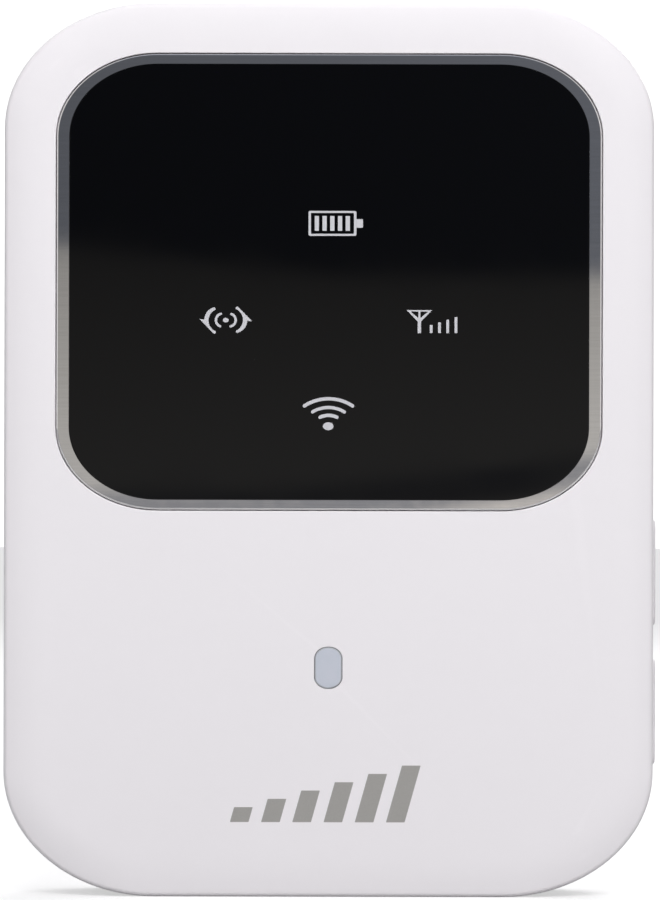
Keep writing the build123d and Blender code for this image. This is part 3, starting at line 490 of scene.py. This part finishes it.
def cad_finishes():
    """One finish for each material slot that a CAD piece still shows."""
    jet = (0.022, 0.022, 0.024)
    # Slot, name, colour, roughness, grain size and depth in millimetres, edge paleness and dulling, mottle.
    plastics = (
        ("housing_white", "housing_plastic", (0.82, 0.80, 0.815), 0.42, 0.5, 0.002, (0.02, 0.05), 0.03),
        ("plunger_white", "plunger_plastic", (0.74, 0.73, 0.72), 0.45, 0.3, 0.002, (0.04, 0.05), 0.05),
        ("guide_white", "guide_plastic", (0.78, 0.78, 0.76), 0.50, 0.4, 0.002, (0.03, 0.05), 0.05),
        ("film_milky", "diffuser_film", (0.72, 0.74, 0.76), 0.60, 0.2, 0.003, (0.02, 0.05), 0.06),
        ("tape_black", "foam_tape", (0.030, 0.030, 0.032), 0.85, 0.15, 0.010, (0.10, 0.05), 0.20),
        ("insulator_black", "insulator_plastic", jet, 0.42, 0.25, 0.003, (0.8, 0.08), 0.15),
        ("switch_black", "switch_plastic", (0.035, 0.035, 0.037), 0.38, 0.25, 0.003, (0.8, 0.08), 0.15),
    )
    finishes = {slot: plastic(*finish) for slot, *finish in plastics}
    finishes["chip_black"] = moulded_chip()
    finishes["board_green"] = solder_mask()
    finishes["part_tan"] = ceramic_parts()
    finishes["lamp_yellow"] = lamp_phosphor()
    # Slot, name, colour, roughness, stretch of the drawn lines, tarnish.
    metals = (
        ("can_tin", "shield_tin", (0.66, 0.65, 0.62), 0.34),
        ("socket_steel", "socket_steel", (0.62, 0.62, 0.63), 0.22, (5.0, 0.4, 0.4)),
        ("screw_steel", "screw_steel", (0.50, 0.50, 0.52), 0.23, (2.0, 2.0, 2.0), 0.25),
        ("contact_gold", "contact_gold", (0.90, 0.64, 0.26), 0.20, (1.0, 1.0, 3.0), 0.10),
        ("antenna_gold", "antenna_gold", (0.86, 0.62, 0.30), 0.23, (3.0, 1.0, 1.0), 0.14),
    )
    finishes.update({slot: metal(*finish) for slot, *finish in metals})
    finishes["battery_black"] = cell_wrap()
    foil, foil_ink = (0.62, 0.62, 0.64), (0.05, 0.05, 0.06)
    finishes["label_silver"] = label("battery_foil", "battery_label", foil, foil_ink, 0.34, 0.6)
    finishes["label_white"] = label("bay_paper", "bay_label", (0.80, 0.80, 0.78), (0.10, 0.10, 0.11), 0.55)
    return finishes


def paint_cad_pieces():
    """Gives every CAD piece that is still shown the finish of its material slot."""
    finishes = cad_finishes()
    for part in frame["record"]["subparts"]:
        node = frame["nodes"][part["node"]]
        if node.hide_render:
            continue
        if not node.material_slots:
            node.data.materials.append(None)
        for place in node.material_slots:
            place.material = finishes[part["material_slot"]]


# ---------- front of the case ----------

SHOULDER = 4.6 * MM
SHOULDER_POWER = 2.2
SHOULDER_STEPS = 26
FLAT_STEPS = (0.1 * MM, 0.22 * MM)
SIDE_DROP = 0.90 * MM
END_DROP = 0.25 * MM
EDGE = 0.50 * MM
EDGE_LEAD = 0.02 * MM
WALL = 1.5 * MM
SEAM_EDGE = 0.08 * MM
CEILING_GAP = 1.0 * MM
POCKET_LIP = 0.10 * MM
POCKET_APRON = (0.30 * MM, 0.20 * MM)
LENS_HOLE_LIP = 0.05 * MM
LENS_HOLE_APRON = (0.45 * MM, 0.30 * MM, 0.15 * MM)
LENS_HOLE_DEPTH = 1.4 * MM
ON_THE_FACE = 0.0001 * MM


def front_profile(fall):
    """The front shell's section from seam to flat face, as (inset, depth), for the fall of its shoulder."""
    run = SHOULDER - EDGE
    start = math.atan(SHOULDER_POWER * fall / run)
    radius = EDGE / (1 - math.sin(start))
    centre = FRONT + fall + radius * math.cos(start)
    section = [
        (SEAM_EDGE, FRONT_SEAM),
        (SEAM_EDGE * 0.3, FRONT_SEAM - SEAM_EDGE * 0.3),
        (0.0, FRONT_SEAM - SEAM_EDGE),
        (0.0, centre + EDGE_LEAD),
    ]
    for angle in arc(0, 90 - math.degrees(start), 12):
        section.append((radius * (1 - math.cos(angle)), centre - radius * math.sin(angle)))
    for step in range(1, SHOULDER_STEPS + 1):
        left_over = 1 - step / SHOULDER_STEPS
        section.append((SHOULDER - run * left_over, FRONT + fall * left_over**SHOULDER_POWER))
    section += [(SHOULDER + step, FRONT) for step in FLAT_STEPS]
    return section


def front_rings():
    """Rings for the front shell's outside: the shoulder falls further at the sides than at the ends."""
    quarter = [math.cos(math.pi / 2 * step / CORNER_STEPS) ** 2 for step in range(CORNER_STEPS + 1)]
    sideness = quarter + quarter[::-1] + quarter + quarter[::-1]
    rings = []
    for (side, side_depth), (end, end_depth) in zip(front_profile(SIDE_DROP), front_profile(END_DROP)):
        points = []
        depths = []
        for share, (side_x, side_z), (end_x, end_z) in zip(sideness, case_loop(side), case_loop(end)):
            points.append((share * side_x + (1 - share) * end_x, share * side_z + (1 - share) * end_z))
            depths.append(share * side_depth + (1 - share) * end_depth)
        rings.append((points, depths))
    return rings


def rounded_lip(radius):
    """(outset, drop) pairs for a small rounding from a flat face into a hole."""
    return [(radius * (1 - math.sin(a)), radius * (1 - math.cos(a))) for a in arc(0, 90, 5)]


def build_front_shell(material):
    """The white front case half: side wall, edge, shoulder, flat face, window pocket and lens hole."""
    bm = bmesh.new()
    rim, flat = add_loft(bm, front_rings())
    pocket_floor = RING_HIGH.y
    apron = [RING_GAP + step for step in POCKET_APRON]
    pocket = [(ring_loop(-outset, -outset), FRONT) for outset in apron]
    for outset, drop in rounded_lip(POCKET_LIP):
        pocket.append((ring_loop(-RING_GAP - outset, -RING_GAP - outset), FRONT + drop))
    pocket.append((ring_loop(-RING_GAP, -RING_GAP), pocket_floor))
    pocket_top, pocket_bottom = add_loft(bm, pocket)
    bm.faces.new(pocket_bottom)
    hole = [(lens_loop(-outset), FRONT) for outset in LENS_HOLE_APRON]
    for outset, drop in rounded_lip(LENS_HOLE_LIP):
        hole.append((lens_loop(-outset), FRONT + drop))
    hole.append((lens_loop(0.0), FRONT + LENS_HOLE_DEPTH))
    hole_top, hole_bottom = add_loft(bm, hole)
    bm.faces.new(hole_bottom)
    fill_between(bm, [flat, pocket_top, hole_top])
    inside = [(case_loop(WALL), FRONT_SEAM), (case_loop(WALL), pocket_floor + CEILING_GAP)]
    inner_rim, ceiling = add_loft(bm, inside)
    join_rings(bm, rim, inner_rim)
    bm.faces.new(ceiling)
    piece = make_object(bm, "case_front", material, "chassis", "case_white", "front_shell")
    for face in piece.data.polygons:
        if abs(face.center.y - FRONT) < ON_THE_FACE:
            face.use_smooth = False
    return piece


def build_trim_ring(material):
    """The silver ring: a flat band round the window with a rounded outer edge and a sharp inner one."""
    crisp = 0.02 * MM
    section = [(0.0, 0.0, RING_HIGH.y)]
    for angle in arc(0, 90, 8):
        away = BAND_EDGE * (1 - math.cos(angle))
        section.append((away, away, RING_FRONT + BAND_EDGE * (1 - math.sin(angle))))
    section.append((BAND_EDGE + crisp, BAND_EDGE + crisp, RING_FRONT))
    section.append((BAND_SIDE, BAND_END, RING_FRONT))
    section.append((BAND_SIDE, BAND_END, RING_HIGH.y))
    bm = bmesh.new()
    add_loft(bm, [(ring_loop(side, end), y) for side, end, y in section], closed=True)
    piece = make_object(bm, "trim_ring", material, "chassis", "trim_silver", "window_trim_ring")
    sharpen(piece, 25.0)
    return piece


def panel_loop(inset):
    """The window panel's outline, drawn in by an even margin."""
    corner = (9.54 * MM, 7.81 * MM)
    return loop(PANEL_SIZE, corner, (0.0, RING_MIDDLE), (inset, inset))


def build_panel(material):
    """The black window panel, with a polished edge."""
    edge = 0.03 * MM
    rings = [(panel_loop(0.0), PANEL_HIGH.y)]
    for angle in arc(0, 90, 4):
        rings.append((panel_loop(edge * (1 - math.cos(angle))), PANEL_FRONT + edge * (1 - math.sin(angle))))
    rings.append((panel_loop(edge + 0.05 * MM), PANEL_FRONT))
    bm = bmesh.new()
    back, front = add_loft(bm, rings)
    bm.faces.new(front)
    bm.faces.new(list(reversed(back)))
    return make_object(bm, "window_panel", material, "chassis", "window_black", "display_window")


def build_lens():
    """The status lens: a pill with a slight crown, with painted shade on its turned-down rim as a darker
    copy of its milky finish.
    """
    gap = 0.04 * MM
    edge = 0.15 * MM
    top = FRONT + 0.03 * MM
    rings = [(lens_loop(gap), FRONT + 1.3 * MM)]
    for angle in arc(0, 90, 5):
        rings.append((lens_loop(gap + edge * (1 - math.cos(angle))), top + edge * (1 - math.sin(angle))))
    rings.append((lens_loop(gap + 0.5 * MM), top - 0.015 * MM))
    rings.append((lens_loop(gap + 1.0 * MM), top - 0.025 * MM))
    bm = bmesh.new()
    back, front = add_loft(bm, rings)
    bm.faces.new(front)
    bm.faces.new(list(reversed(back)))
    crown = milky("milky_lens", (0.540, 0.580, 0.650), (0.575, 0.600, 0.675))
    piece = make_object(bm, "status_light", crown, "chassis", "lens_grey", "status_lens")
    # Painted shade: the rim faces get a darker, greyer copy of the same milky finish, where the rim turns
    # away from the light.
    piece.data.materials.append(milky("milky_lens_painted_shade_rim", (0.40, 0.42, 0.45), (0.44, 0.46, 0.49)))
    for face in piece.data.polygons:
        face.material_index = 1 if face.center.y > top else 0
    return piece


# ---------- symbols ----------

SYMBOL_FRONT = PANEL_FRONT - 0.008 * MM
SYMBOL_BACK = PANEL_FRONT + 0.03 * MM
SYMBOL_TRIM = 0.030 * MM


def mm_points(points, origin):
    """Outline points given in millimetres from an origin in metres."""
    return [(origin[0] + x * MM, origin[1] + z * MM) for x, z in points]


def ellipse(radius_x, radius_z, x=0.0):
    """An ellipse's outline, in millimetres."""
    steps = 40
    turns = [2 * math.pi * i / steps for i in range(steps)]
    return [(x + radius_x * math.cos(a), radius_z * math.sin(a)) for a in turns]


def bar(left, right, bottom, top):
    """An upright rectangle's outline, in millimetres."""
    return [(left, bottom), (right, bottom), (right, top), (left, top)]


def arc_points(start, through, end, steps):
    """Points on the circle through three points."""
    a, b, c = Vector(start), Vector(through), Vector(end)
    aa, bb, cc = a.length_squared, b.length_squared, c.length_squared
    d = 2 * (a.x * (b.y - c.y) + b.x * (c.y - a.y) + c.x * (a.y - b.y))
    ux = (aa * (b.y - c.y) + bb * (c.y - a.y) + cc * (a.y - b.y)) / d
    uz = (aa * (c.x - b.x) + bb * (a.x - c.x) + cc * (b.x - a.x)) / d
    centre = Vector((ux, uz))
    radius = (a - centre).length
    first, middle, last = (math.atan2((p - centre).y, (p - centre).x) for p in (a, b, c))
    if (middle - first) % (2 * math.pi) > (last - first) % (2 * math.pi):
        sweep = -((first - last) % (2 * math.pi))
    else:
        sweep = (last - first) % (2 * math.pi)
    angles = [first + sweep * i / steps for i in range(steps + 1)]
    return [(centre.x + radius * math.cos(t), centre.y + radius * math.sin(t)) for t in angles]


def stroke(spine, width):
    """The outline of a round-ended line of even width along a list of points, in millimetres."""
    spine = [Vector(p) for p in spine]
    left, right = [], []
    for i, here in enumerate(spine):
        along = (spine[min(i + 1, len(spine) - 1)] - spine[max(i - 1, 0)]).normalized()
        side = Vector((-along.y, along.x)) * width / 2
        left.append(here + side)
        right.append(here - side)
    outline = [tuple(p) for p in right]
    outline += cap(spine[-1], spine[-1] - spine[-2], width)
    outline += [tuple(p) for p in reversed(left)]
    outline += cap(spine[0], spine[0] - spine[1], width)
    return outline


def cap(end, direction, width):
    """The inner points of a round end."""
    heading = math.atan2(direction.y, direction.x)
    angles = [heading - math.pi / 2 + math.pi * i / 10 for i in range(1, 10)]
    return [(end.x + width / 2 * math.cos(a), end.y + width / 2 * math.sin(a)) for a in angles]


def soften(points, radius, steps=4):
    """An outline whose corners are rounded off, in the outline's own units."""
    rounded = []
    count = len(points)
    for i in range(count):
        before, here, after = Vector(points[i - 1]), Vector(points[i]), Vector(points[(i + 1) % count])
        reach_in = min(radius, (before - here).length * 0.45)
        reach_out = min(radius, (after - here).length * 0.45)
        start = here + (before - here).normalized() * reach_in
        end = here + (after - here).normalized() * reach_out
        for step in range(steps + 1):
            t = step / steps
            rounded.append(tuple(start * (1 - t) ** 2 + here * (2 * t * (1 - t)) + end * t * t))
    return rounded


def add_plate(bm, outer, holes, origin, front, back, trim):
    """A thin plate with holes, from outlines in millimetres, slimmed all round by a trim in metres."""
    edge = 0.004 * MM
    tops = []
    bottoms = []
    for points, away in [(outer, 1)] + [(hole, -1) for hole in holes]:
        placed = shrink(mm_points(points, origin), away * trim)
        side = [(placed, back), (placed, front + edge), (shrink(placed, away * edge), front)]
        first, last = add_loft(bm, side)
        tops.append(last)
        bottoms.append(first)
    for rings in (tops, bottoms):
        if holes:
            fill_between(bm, rings)
        else:
            bm.faces.new(rings[0])


def build_symbol(name, shapes, origin, material, node, slot="symbol_grey", depths=None, trim=SYMBOL_TRIM):
    """One printed symbol made of separate thin plates, each an outline or an outline with its holes."""
    front, back = depths or (SYMBOL_FRONT, SYMBOL_BACK)
    bm = bmesh.new()
    for shape in shapes:
        outer, holes = shape if isinstance(shape, tuple) else (shape, [])
        add_plate(bm, outer, holes, origin, front, back, trim)
    return make_object(bm, name, material, "chassis", slot, node, smooth=False)


def battery_symbol(material):
    """An outlined cell with five charge bars and an end cap."""
    middle = (0.34 * MM, CASE_MIDDLE + 24.32 * MM)
    outer = soften(bar(-2.605, 2.605, -1.37, 1.37), 0.27, 6)
    inner = soften(bar(-2.275, 2.275, -1.09, 1.09), 0.06)
    shapes = [(outer, [inner])]
    shapes += [soften(bar(-1.94 + 0.83 * i, -1.42 + 0.83 * i, -0.825, 0.825), 0.05) for i in range(5)]
    shapes.append(soften(bar(2.55, 3.30, -0.49, 0.49), 0.10))
    return build_symbol("battery_symbol", shapes, middle, material, "battery_icon")


def half_turn(points):
    """An outline turned by half a turn about its origin."""
    return [(-x, -z) for x, z in points]


def round_end(start, end):
    """The points between two places on a half circle that bulges to the right of the way there."""
    start, end = Vector(start), Vector(end)
    middle = (start + end) / 2
    out = start - middle
    turned = []
    steps = 8
    for step in range(1, steps):
        angle = math.pi * step / steps
        x = middle.x + out.x * math.cos(angle) - out.y * math.sin(angle)
        z = middle.y + out.x * math.sin(angle) + out.y * math.cos(angle)
        turned.append((x, z))
    return turned


def data_symbol(material):
    """A dot between two pairs of arcs, the outer pair swelling into arrowheads."""
    middle = (-11.09 * MM, CASE_MIDDLE + 13.91 * MM)
    inner = stroke(arc_points((0.60, 0.66), (1.065, 0.0), (0.53, -0.67), 14), 0.32)
    hook = arc_points((1.42, -1.33), (2.10, -0.80), (2.33, -0.09), 10)
    hook += [(2.90, -0.15), (1.37, 1.42)]
    hook += round_end((1.37, 1.42), (1.06, 1.18))
    hook += arc_points((1.06, 1.18), (1.82, -0.02), (1.11, -1.09), 16)
    hook += round_end((1.11, -1.09), (1.42, -1.33))
    shapes = [ellipse(0.34, 0.28), inner, half_turn(inner), hook, half_turn(hook)]
    return build_symbol("data_symbol", shapes, middle, material, "data_icon")


def signal_symbol(material):
    """An aerial with two open panes, and four rising bars."""
    middle = (10.94 * MM, CASE_MIDDLE + 13.80 * MM)
    left, right, top, foot = -2.69, 0.19, 1.27, -1.27
    stem = (left + right) / 2
    half_stem, half_mast, joint = 0.21, 0.135, 0.0
    aerial = [
        (left, top),
        (stem - half_stem, joint),
        (stem - half_stem, foot),
        (stem + half_stem, foot),
        (stem + half_stem, joint),
        (right, top),
    ]
    pane = [(half_mast, top - 0.22), (0.86, top - 0.22), (half_mast, 0.43)]
    panes = [[(stem + x, z) for x, z in pane], [(stem - x, z) for x, z in pane]]
    shapes = [(soften(aerial, 0.06), [soften(points, 0.03) for points in panes])]
    for index, bar_top in enumerate((-0.32, -0.05, 0.24, 0.52)):
        x = 0.02 + 0.885 * index
        shapes.append(soften(bar(x - 0.18, x + 0.18, -1.25, bar_top), 0.05))
    return build_symbol("signal_symbol", shapes, middle, material, "signal_icon")


def wireless_symbol(material):
    """A dot under three round-ended arcs."""
    middle = (-0.04 * MM, CASE_MIDDLE + 2.55 * MM)
    shapes = [ellipse(0.60, 0.46, -0.03)]
    arcs = ((0.90, 0.96, 1.17, 0.43), (1.71, 1.54, 2.01, 0.41), (2.59, 2.18, 2.95, 0.43))
    for half_width, end, crown, width in arcs:
        spine = arc_points((-half_width, end), (0.0, crown), (half_width, end), 24)
        shapes.append(stroke(spine, width))
    return build_symbol("wireless_symbol", shapes, middle, material, "wireless_icon")


def emblem_symbol(material):
    """A row of leaning bars that rise to the right, printed on the front face."""
    count, pitch, width, low, slant = 6, 3.35, 2.0, 1.6, 0.28
    high = (EMBLEM_HIGH.z - EMBLEM_LOW.z) / MM
    outlines = []
    for index in range(count):
        height = low + (high - low) * index / (count - 1)
        left = (index - (count - 1) / 2) * pitch - width / 2
        lean = slant * height
        corners = [(left, 0.0), (left + width, 0.0), (left + width + lean, height), (left + lean, height)]
        outlines.append(soften(corners, 0.06))
    origin = (EMBLEM_FEET, EMBLEM_LOW.z)
    depths = (FRONT - 0.006 * MM, FRONT + 0.02 * MM)
    slot = "emblem_silver"
    return build_symbol("emblem_bars", outlines, origin, material, "front_emblem", slot, depths, trim=0.0)


# ---------- battery cover ----------

COVER_WALL = 1.2 * MM
COVER_BACK_WALL = 1.1 * MM
COVER_EDGE = 1.6 * MM
NOTCH_MIDDLE = 23.0 * MM
NOTCH_LENGTH = 10.0 * MM
NOTCH_WIDTH = 0.9 * MM
NOTCH_DEPTH = 0.7 * MM
NOTCH_STEPS = 24
# How deep the notch still is, as a share, at some distances before its back end.
NOTCH_ROUND = ((1.0, 0.35 * MM), (0.8, 0.12 * MM), (0.4, 0.03 * MM))
CLIP_HEIGHTS = (50.0 * MM, 72.0 * MM)
CLIP_LENGTH = 5.0 * MM
CLIP_TIP = COVER_LOW.y
CLIP_INSET = 1.6 * MM
CLIP_THICKNESS = 0.6 * MM


def cover_loop(inset, scoop=0.0):
    """The case's outline with points along the thumbnail notch on its left side, scooped in by a depth."""
    points = case_loop(inset)
    corner = 2 * (CORNER_STEPS + 1)
    side = points[corner][0]
    notch = []
    for step in range(NOTCH_STEPS + 1):
        share = step / NOTCH_STEPS
        z = NOTCH_MIDDLE + NOTCH_LENGTH * (0.5 - share)
        steep = min(1.0, 5 * share, 5 * (1 - share))
        notch.append((side + scoop * steep * (2 - steep), z))
    return points[:corner] + notch + points[corner:]


def add_box(bm, low, high):
    """A closed box between two corners."""
    made = bmesh.ops.create_cube(bm, size=1.0)["verts"]
    for vert in made:
        for axis in range(3):
            vert.co[axis] = low[axis] if vert.co[axis] < 0 else high[axis]


def add_clip(bm, sign, z):
    """One cover clip: a rib on the cover's side wall and a tip that reaches behind the band."""
    side = CASE_WIDTH / 2
    inner = side - CLIP_INSET - CLIP_THICKNESS
    rib_front = BACK_SEAM + 0.1 * MM
    rib = (side - COVER_WALL, rib_front, BACK - COVER_BACK_WALL)
    tip = (side - CLIP_INSET, CLIP_TIP, rib_front)
    for outer, front, back in (rib, tip):
        left, right = sorted((sign * inner, sign * outer))
        add_box(bm, (left, front, z - CLIP_LENGTH / 2), (right, back, z + CLIP_LENGTH / 2))


def build_cover(material):
    """The clip-on back: side wall with a thumbnail notch, rounded back edge, the inside, and four clips."""
    notch_back = BACK_SEAM + NOTCH_WIDTH
    rings = [
        (cover_loop(SEAM_EDGE, NOTCH_DEPTH - SEAM_EDGE), BACK_SEAM),
        (cover_loop(0.0, NOTCH_DEPTH), BACK_SEAM + SEAM_EDGE),
    ]
    rings += [(cover_loop(0.0, NOTCH_DEPTH * share), notch_back - short) for share, short in NOTCH_ROUND]
    rings.append((cover_loop(0.0), notch_back))
    for angle in arc(0, 90, 14):
        inset = COVER_EDGE * (1 - math.cos(angle))
        rings.append((cover_loop(inset), BACK - COVER_EDGE * (1 - math.sin(angle))))
    rings.append((cover_loop(COVER_EDGE + 0.3 * MM), BACK))
    bm = bmesh.new()
    rim, back = add_loft(bm, rings)
    bm.faces.new(back)
    hollow = [(cover_loop(COVER_WALL), BACK_SEAM), (cover_loop(COVER_WALL), BACK - COVER_BACK_WALL)]
    inner_rim, ceiling = add_loft(bm, hollow)
    join_rings(bm, rim, inner_rim)
    bm.faces.new(ceiling)
    for sign in (-1, 1):
        for z in CLIP_HEIGHTS:
            add_clip(bm, sign, z)
    piece = make_object(bm, "back_cover", material, "cover", "cover_white", "battery_cover")
    sharpen(piece, 50.0)
    return piece


# ---------- keys ----------

KEY_SIZE = (2.8 * MM, 11.55 * MM)
KEY_CORNER = (1.2 * MM, 1.2 * MM)
KEY_EDGE = 0.32 * MM
KEY_DEPTH = 1.0 * MM


def build_key(name, node, body, material):
    """A side key: a rounded pad that stands out of the housing's slot."""
    low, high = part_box(node)
    middle = ((low.y + high.y) / 2, (low.z + high.z) / 2)
    rings = [(0.0, low.x + KEY_DEPTH)]
    for angle in arc(0, 90, 7):
        rings.append((KEY_EDGE * (1 - math.cos(angle)), high.x - KEY_EDGE * (1 - math.sin(angle))))
    rings.append((KEY_EDGE + 0.05 * MM, high.x))
    bm = bmesh.new()
    made = []
    for inset, x in rings:
        points = loop(KEY_SIZE, KEY_CORNER, middle, (inset, inset), 14)
        made.append([bm.verts.new((x, y, z)) for y, z in points])
    for first, second in zip(made, made[1:]):
        join_rings(bm, first, second)
    bm.faces.new(made[-1])
    bm.faces.new(list(reversed(made[0])))
    return make_object(bm, name, material, body, "key_white", node)


# ---------- studio ----------

SENSOR_MM = 36.0
CAMERA_DISTANCE = 0.560
VIEW_HEIGHT = 96.59 * MM
CAMERA_SIDE = 0.13 * MM
CAMERA_ROLL = -0.0024
FLOOR_RADIUS = 2.0
FLOOR_GLOW = 0.55

# Name, place, size, power in watts, and whether it is seen in glossy faces.
SOFTBOXES = (
    ("key_light", (0.03, -0.43, 0.39), (0.34, 0.26), 2.08, False),
    ("right_light", (0.55, -0.20, 0.22), (0.05, 0.40), 0.10, True),
    ("left_light", (-0.55, -0.20, 0.22), (0.05, 0.40), 0.06, True),
    ("back_light", (0.20, 0.55, 0.45), (0.50, 0.40), 2.5, True),
)

SEEN_WHITE = (1.2, 1.2, 1.2)
SOFT_TINT = (1.0, 0.985, 1.03)
SOFT_LOW = 0.24
SOFT_HIGH = 0.72
SOFT_SIDE = 0.20

# The room that glossy faces show: lines across it, each at a height left and right of the middle.
FOREGROUND_LINE = (-0.02305, -0.00675)
STRIPE_LINE = (-0.0080, -0.0012)
CEILING_LINE = (0.0389, 0.0334)
FOREGROUND_TONE = (0.58, 0.55, 0.52)
STRIPE_TONE = (0.238, 0.240, 0.256)
BAND_TINT = (1.03, 1.0, 0.955)
ROOM_TINT = (0.94, 1.0, 1.15)
BESIDE_TONE = (0.66, 0.65, 0.65)


def build_camera():
    """A long lens square on to the front, level with the middle of the case."""
    data = bpy.data.cameras.new("camera")
    data.sensor_width = SENSOR_MM
    data.lens = SENSOR_MM * CAMERA_DISTANCE / VIEW_HEIGHT
    data.clip_start = 0.05
    data.clip_end = 50.0
    camera = bpy.data.objects.new("camera", data)
    camera.location = (CAMERA_SIDE, FRONT - CAMERA_DISTANCE, CASE_MIDDLE)
    camera.rotation_euler = (math.pi / 2, CAMERA_ROLL, 0.0)
    bpy.context.scene.collection.objects.link(camera)
    bpy.context.scene.camera = camera


def build_floor():
    """A wide pale floor that the case stands on. It looks bright to the camera, like studio paper."""
    shader = Shader("pale_floor", (0.48, 0.48, 0.48), 0.6)
    shader.set("Roughness", shader.remap(shader.noise(0.02, 3.0), 0.55, 0.7))
    seen = shader.add("ShaderNodeLightPath").outputs["Is Camera Ray"]
    strength = shader.math("MULTIPLY", seen, FLOOR_GLOW)
    glow = shader.add("ShaderNodeEmission", ("Color", (1.0, 1.0, 1.0)), ("Strength", strength))
    lit = shader.add("ShaderNodeAddShader", (0, shader.bsdf.outputs[0]), (1, glow.outputs[0]))
    shader.feed(shader.output.inputs["Surface"], lit.outputs[0])
    bm = bmesh.new()
    bmesh.ops.create_circle(bm, cap_ends=True, segments=96, radius=FLOOR_RADIUS)
    mesh = bpy.data.meshes.new("floor")
    bm.to_mesh(mesh)
    bm.free()
    floor = bpy.data.objects.new("floor", mesh)
    floor.location = (0.0, 0.0, cad_bounds[0].z)
    floor.data.materials.append(shader.material)
    bpy.context.scene.collection.objects.link(floor)


def add_softbox(name, place, size, power, shiny):
    """A rectangular soft light aimed at the middle of the case, seen in glossy faces or not."""
    data = bpy.data.lights.new(name, "AREA")
    data.shape = "RECTANGLE"
    data.size, data.size_y = size
    data.energy = power
    lamp = bpy.data.objects.new(name, data)
    lamp.location = place
    lamp.visible_glossy = shiny
    aim = Vector((0.0, 0.0, CASE_MIDDLE)) - Vector(place)
    lamp.rotation_euler = aim.to_track_quat("-Z", "Y").to_euler()
    bpy.context.scene.collection.objects.link(lamp)


def build_world():
    """White to the camera; a dim room with a pale band at eye level in reflections; soft white elsewhere."""
    world = bpy.data.worlds.new("studio")
    nodes = Nodes(world)
    direction = nodes.add("ShaderNodeTexCoord").outputs["Generated"]
    x, y, z = nodes.add("ShaderNodeSeparateXYZ", (0, direction)).outputs
    flat = nodes.math("SQRT", nodes.math("ADD", nodes.math("MULTIPLY", x, x), nodes.math("MULTIPLY", y, y)))
    rise = nodes.math("DIVIDE", z, nodes.math("MAXIMUM", flat, 0.01))
    aside = nodes.ramp(x, -0.06, 0.06, -0.06, 0.06)
    beside = nodes.math("ABSOLUTE", x)

    def above(line, blur):
        """1 above a line across the view ahead, 0 below it."""
        return nodes.ramp(nodes.math("SUBTRACT", rise, line), -blur, blur, 0.0, 1.0, smooth=True)

    def tint(color, amount):
        """A colour made brighter or darker by an amount."""
        node = nodes.add("ShaderNodeVectorMath", (0, color))
        node.operation = "SCALE"
        nodes.feed(node.inputs["Scale"], amount)
        return node.outputs[0]

    ceiling_line = nodes.ramp(aside, -0.05, 0.0, *CEILING_LINE)
    stripe_line = nodes.ramp(aside, -0.012, 0.05, *STRIPE_LINE)
    foreground_line = nodes.ramp(aside, -0.05, 0.05, *FOREGROUND_LINE)
    band = nodes.ramp(rise, -0.006, 0.036, 0.44, 0.27)
    band = tint(BAND_TINT, nodes.math("MULTIPLY", band, nodes.ramp(aside, -0.05, 0.05, 0.99, 1.10)))
    dim = nodes.ramp(aside, -0.05, 0.05, 0.098, 0.120)
    room = tint(ROOM_TINT, nodes.ramp(z, 0.35, 0.9, dim, 0.45, smooth=True))
    glossy = nodes.mix(above(foreground_line, 0.0015), FOREGROUND_TONE, STRIPE_TONE)
    glossy = nodes.mix(above(stripe_line, 0.0012), glossy, band)
    glossy = nodes.mix(above(ceiling_line, 0.0024), glossy, room)
    glossy = nodes.mix(nodes.ramp(beside, 0.12, 0.5, 0.0, 1.0, smooth=True), glossy, BESIDE_TONE)

    sideways = nodes.ramp(beside, 0.25, 0.9, 1.0, SOFT_SIDE, smooth=True)
    upward = nodes.ramp(z, -0.3, 0.95, SOFT_LOW, SOFT_HIGH)
    soft = tint(SOFT_TINT, nodes.math("MULTIPLY", upward, sideways))
    path = nodes.add("ShaderNodeLightPath")
    light = nodes.mix(path.outputs["Is Glossy Ray"], soft, glossy)
    color = nodes.mix(path.outputs["Is Camera Ray"], light, SEEN_WHITE)
    background = nodes.add("ShaderNodeBackground", ("Color", color))
    nodes.add("ShaderNodeOutputWorld", ("Surface", background.outputs[0]))
    bpy.context.scene.world = world


def build_studio():
    """Camera, floor, soft lights and surroundings."""
    build_camera()
    build_floor()
    for softbox in SOFTBOXES:
        add_softbox(*softbox)
    build_world()
    bpy.context.scene.view_settings.view_transform = "Standard"


# ---------- everything ----------

def build_visible_pieces():
    """The outer pieces, rebuilt in fine meshes."""
    white = white_plastic()
    grey_ink = printed("symbol_ink", (0.62, 0.62, 0.65), 0.30)
    build_front_shell(white)
    build_trim_ring(silver_trim())
    build_panel(black_gloss())
    build_lens()
    battery_symbol(grey_ink)
    data_symbol(grey_ink)
    signal_symbol(grey_ink)
    wireless_symbol(grey_ink)
    emblem_symbol(printed("silver_ink", (0.42, 0.41, 0.39), 0.40, 0.25))
    build_cover(white)
    build_key("power_key_cap", "power_button", "power_key", white)
    build_key("wps_key_cap", "wps_button", "wps_key", white)


build_visible_pieces()
paint_cad_pieces()
build_studio()
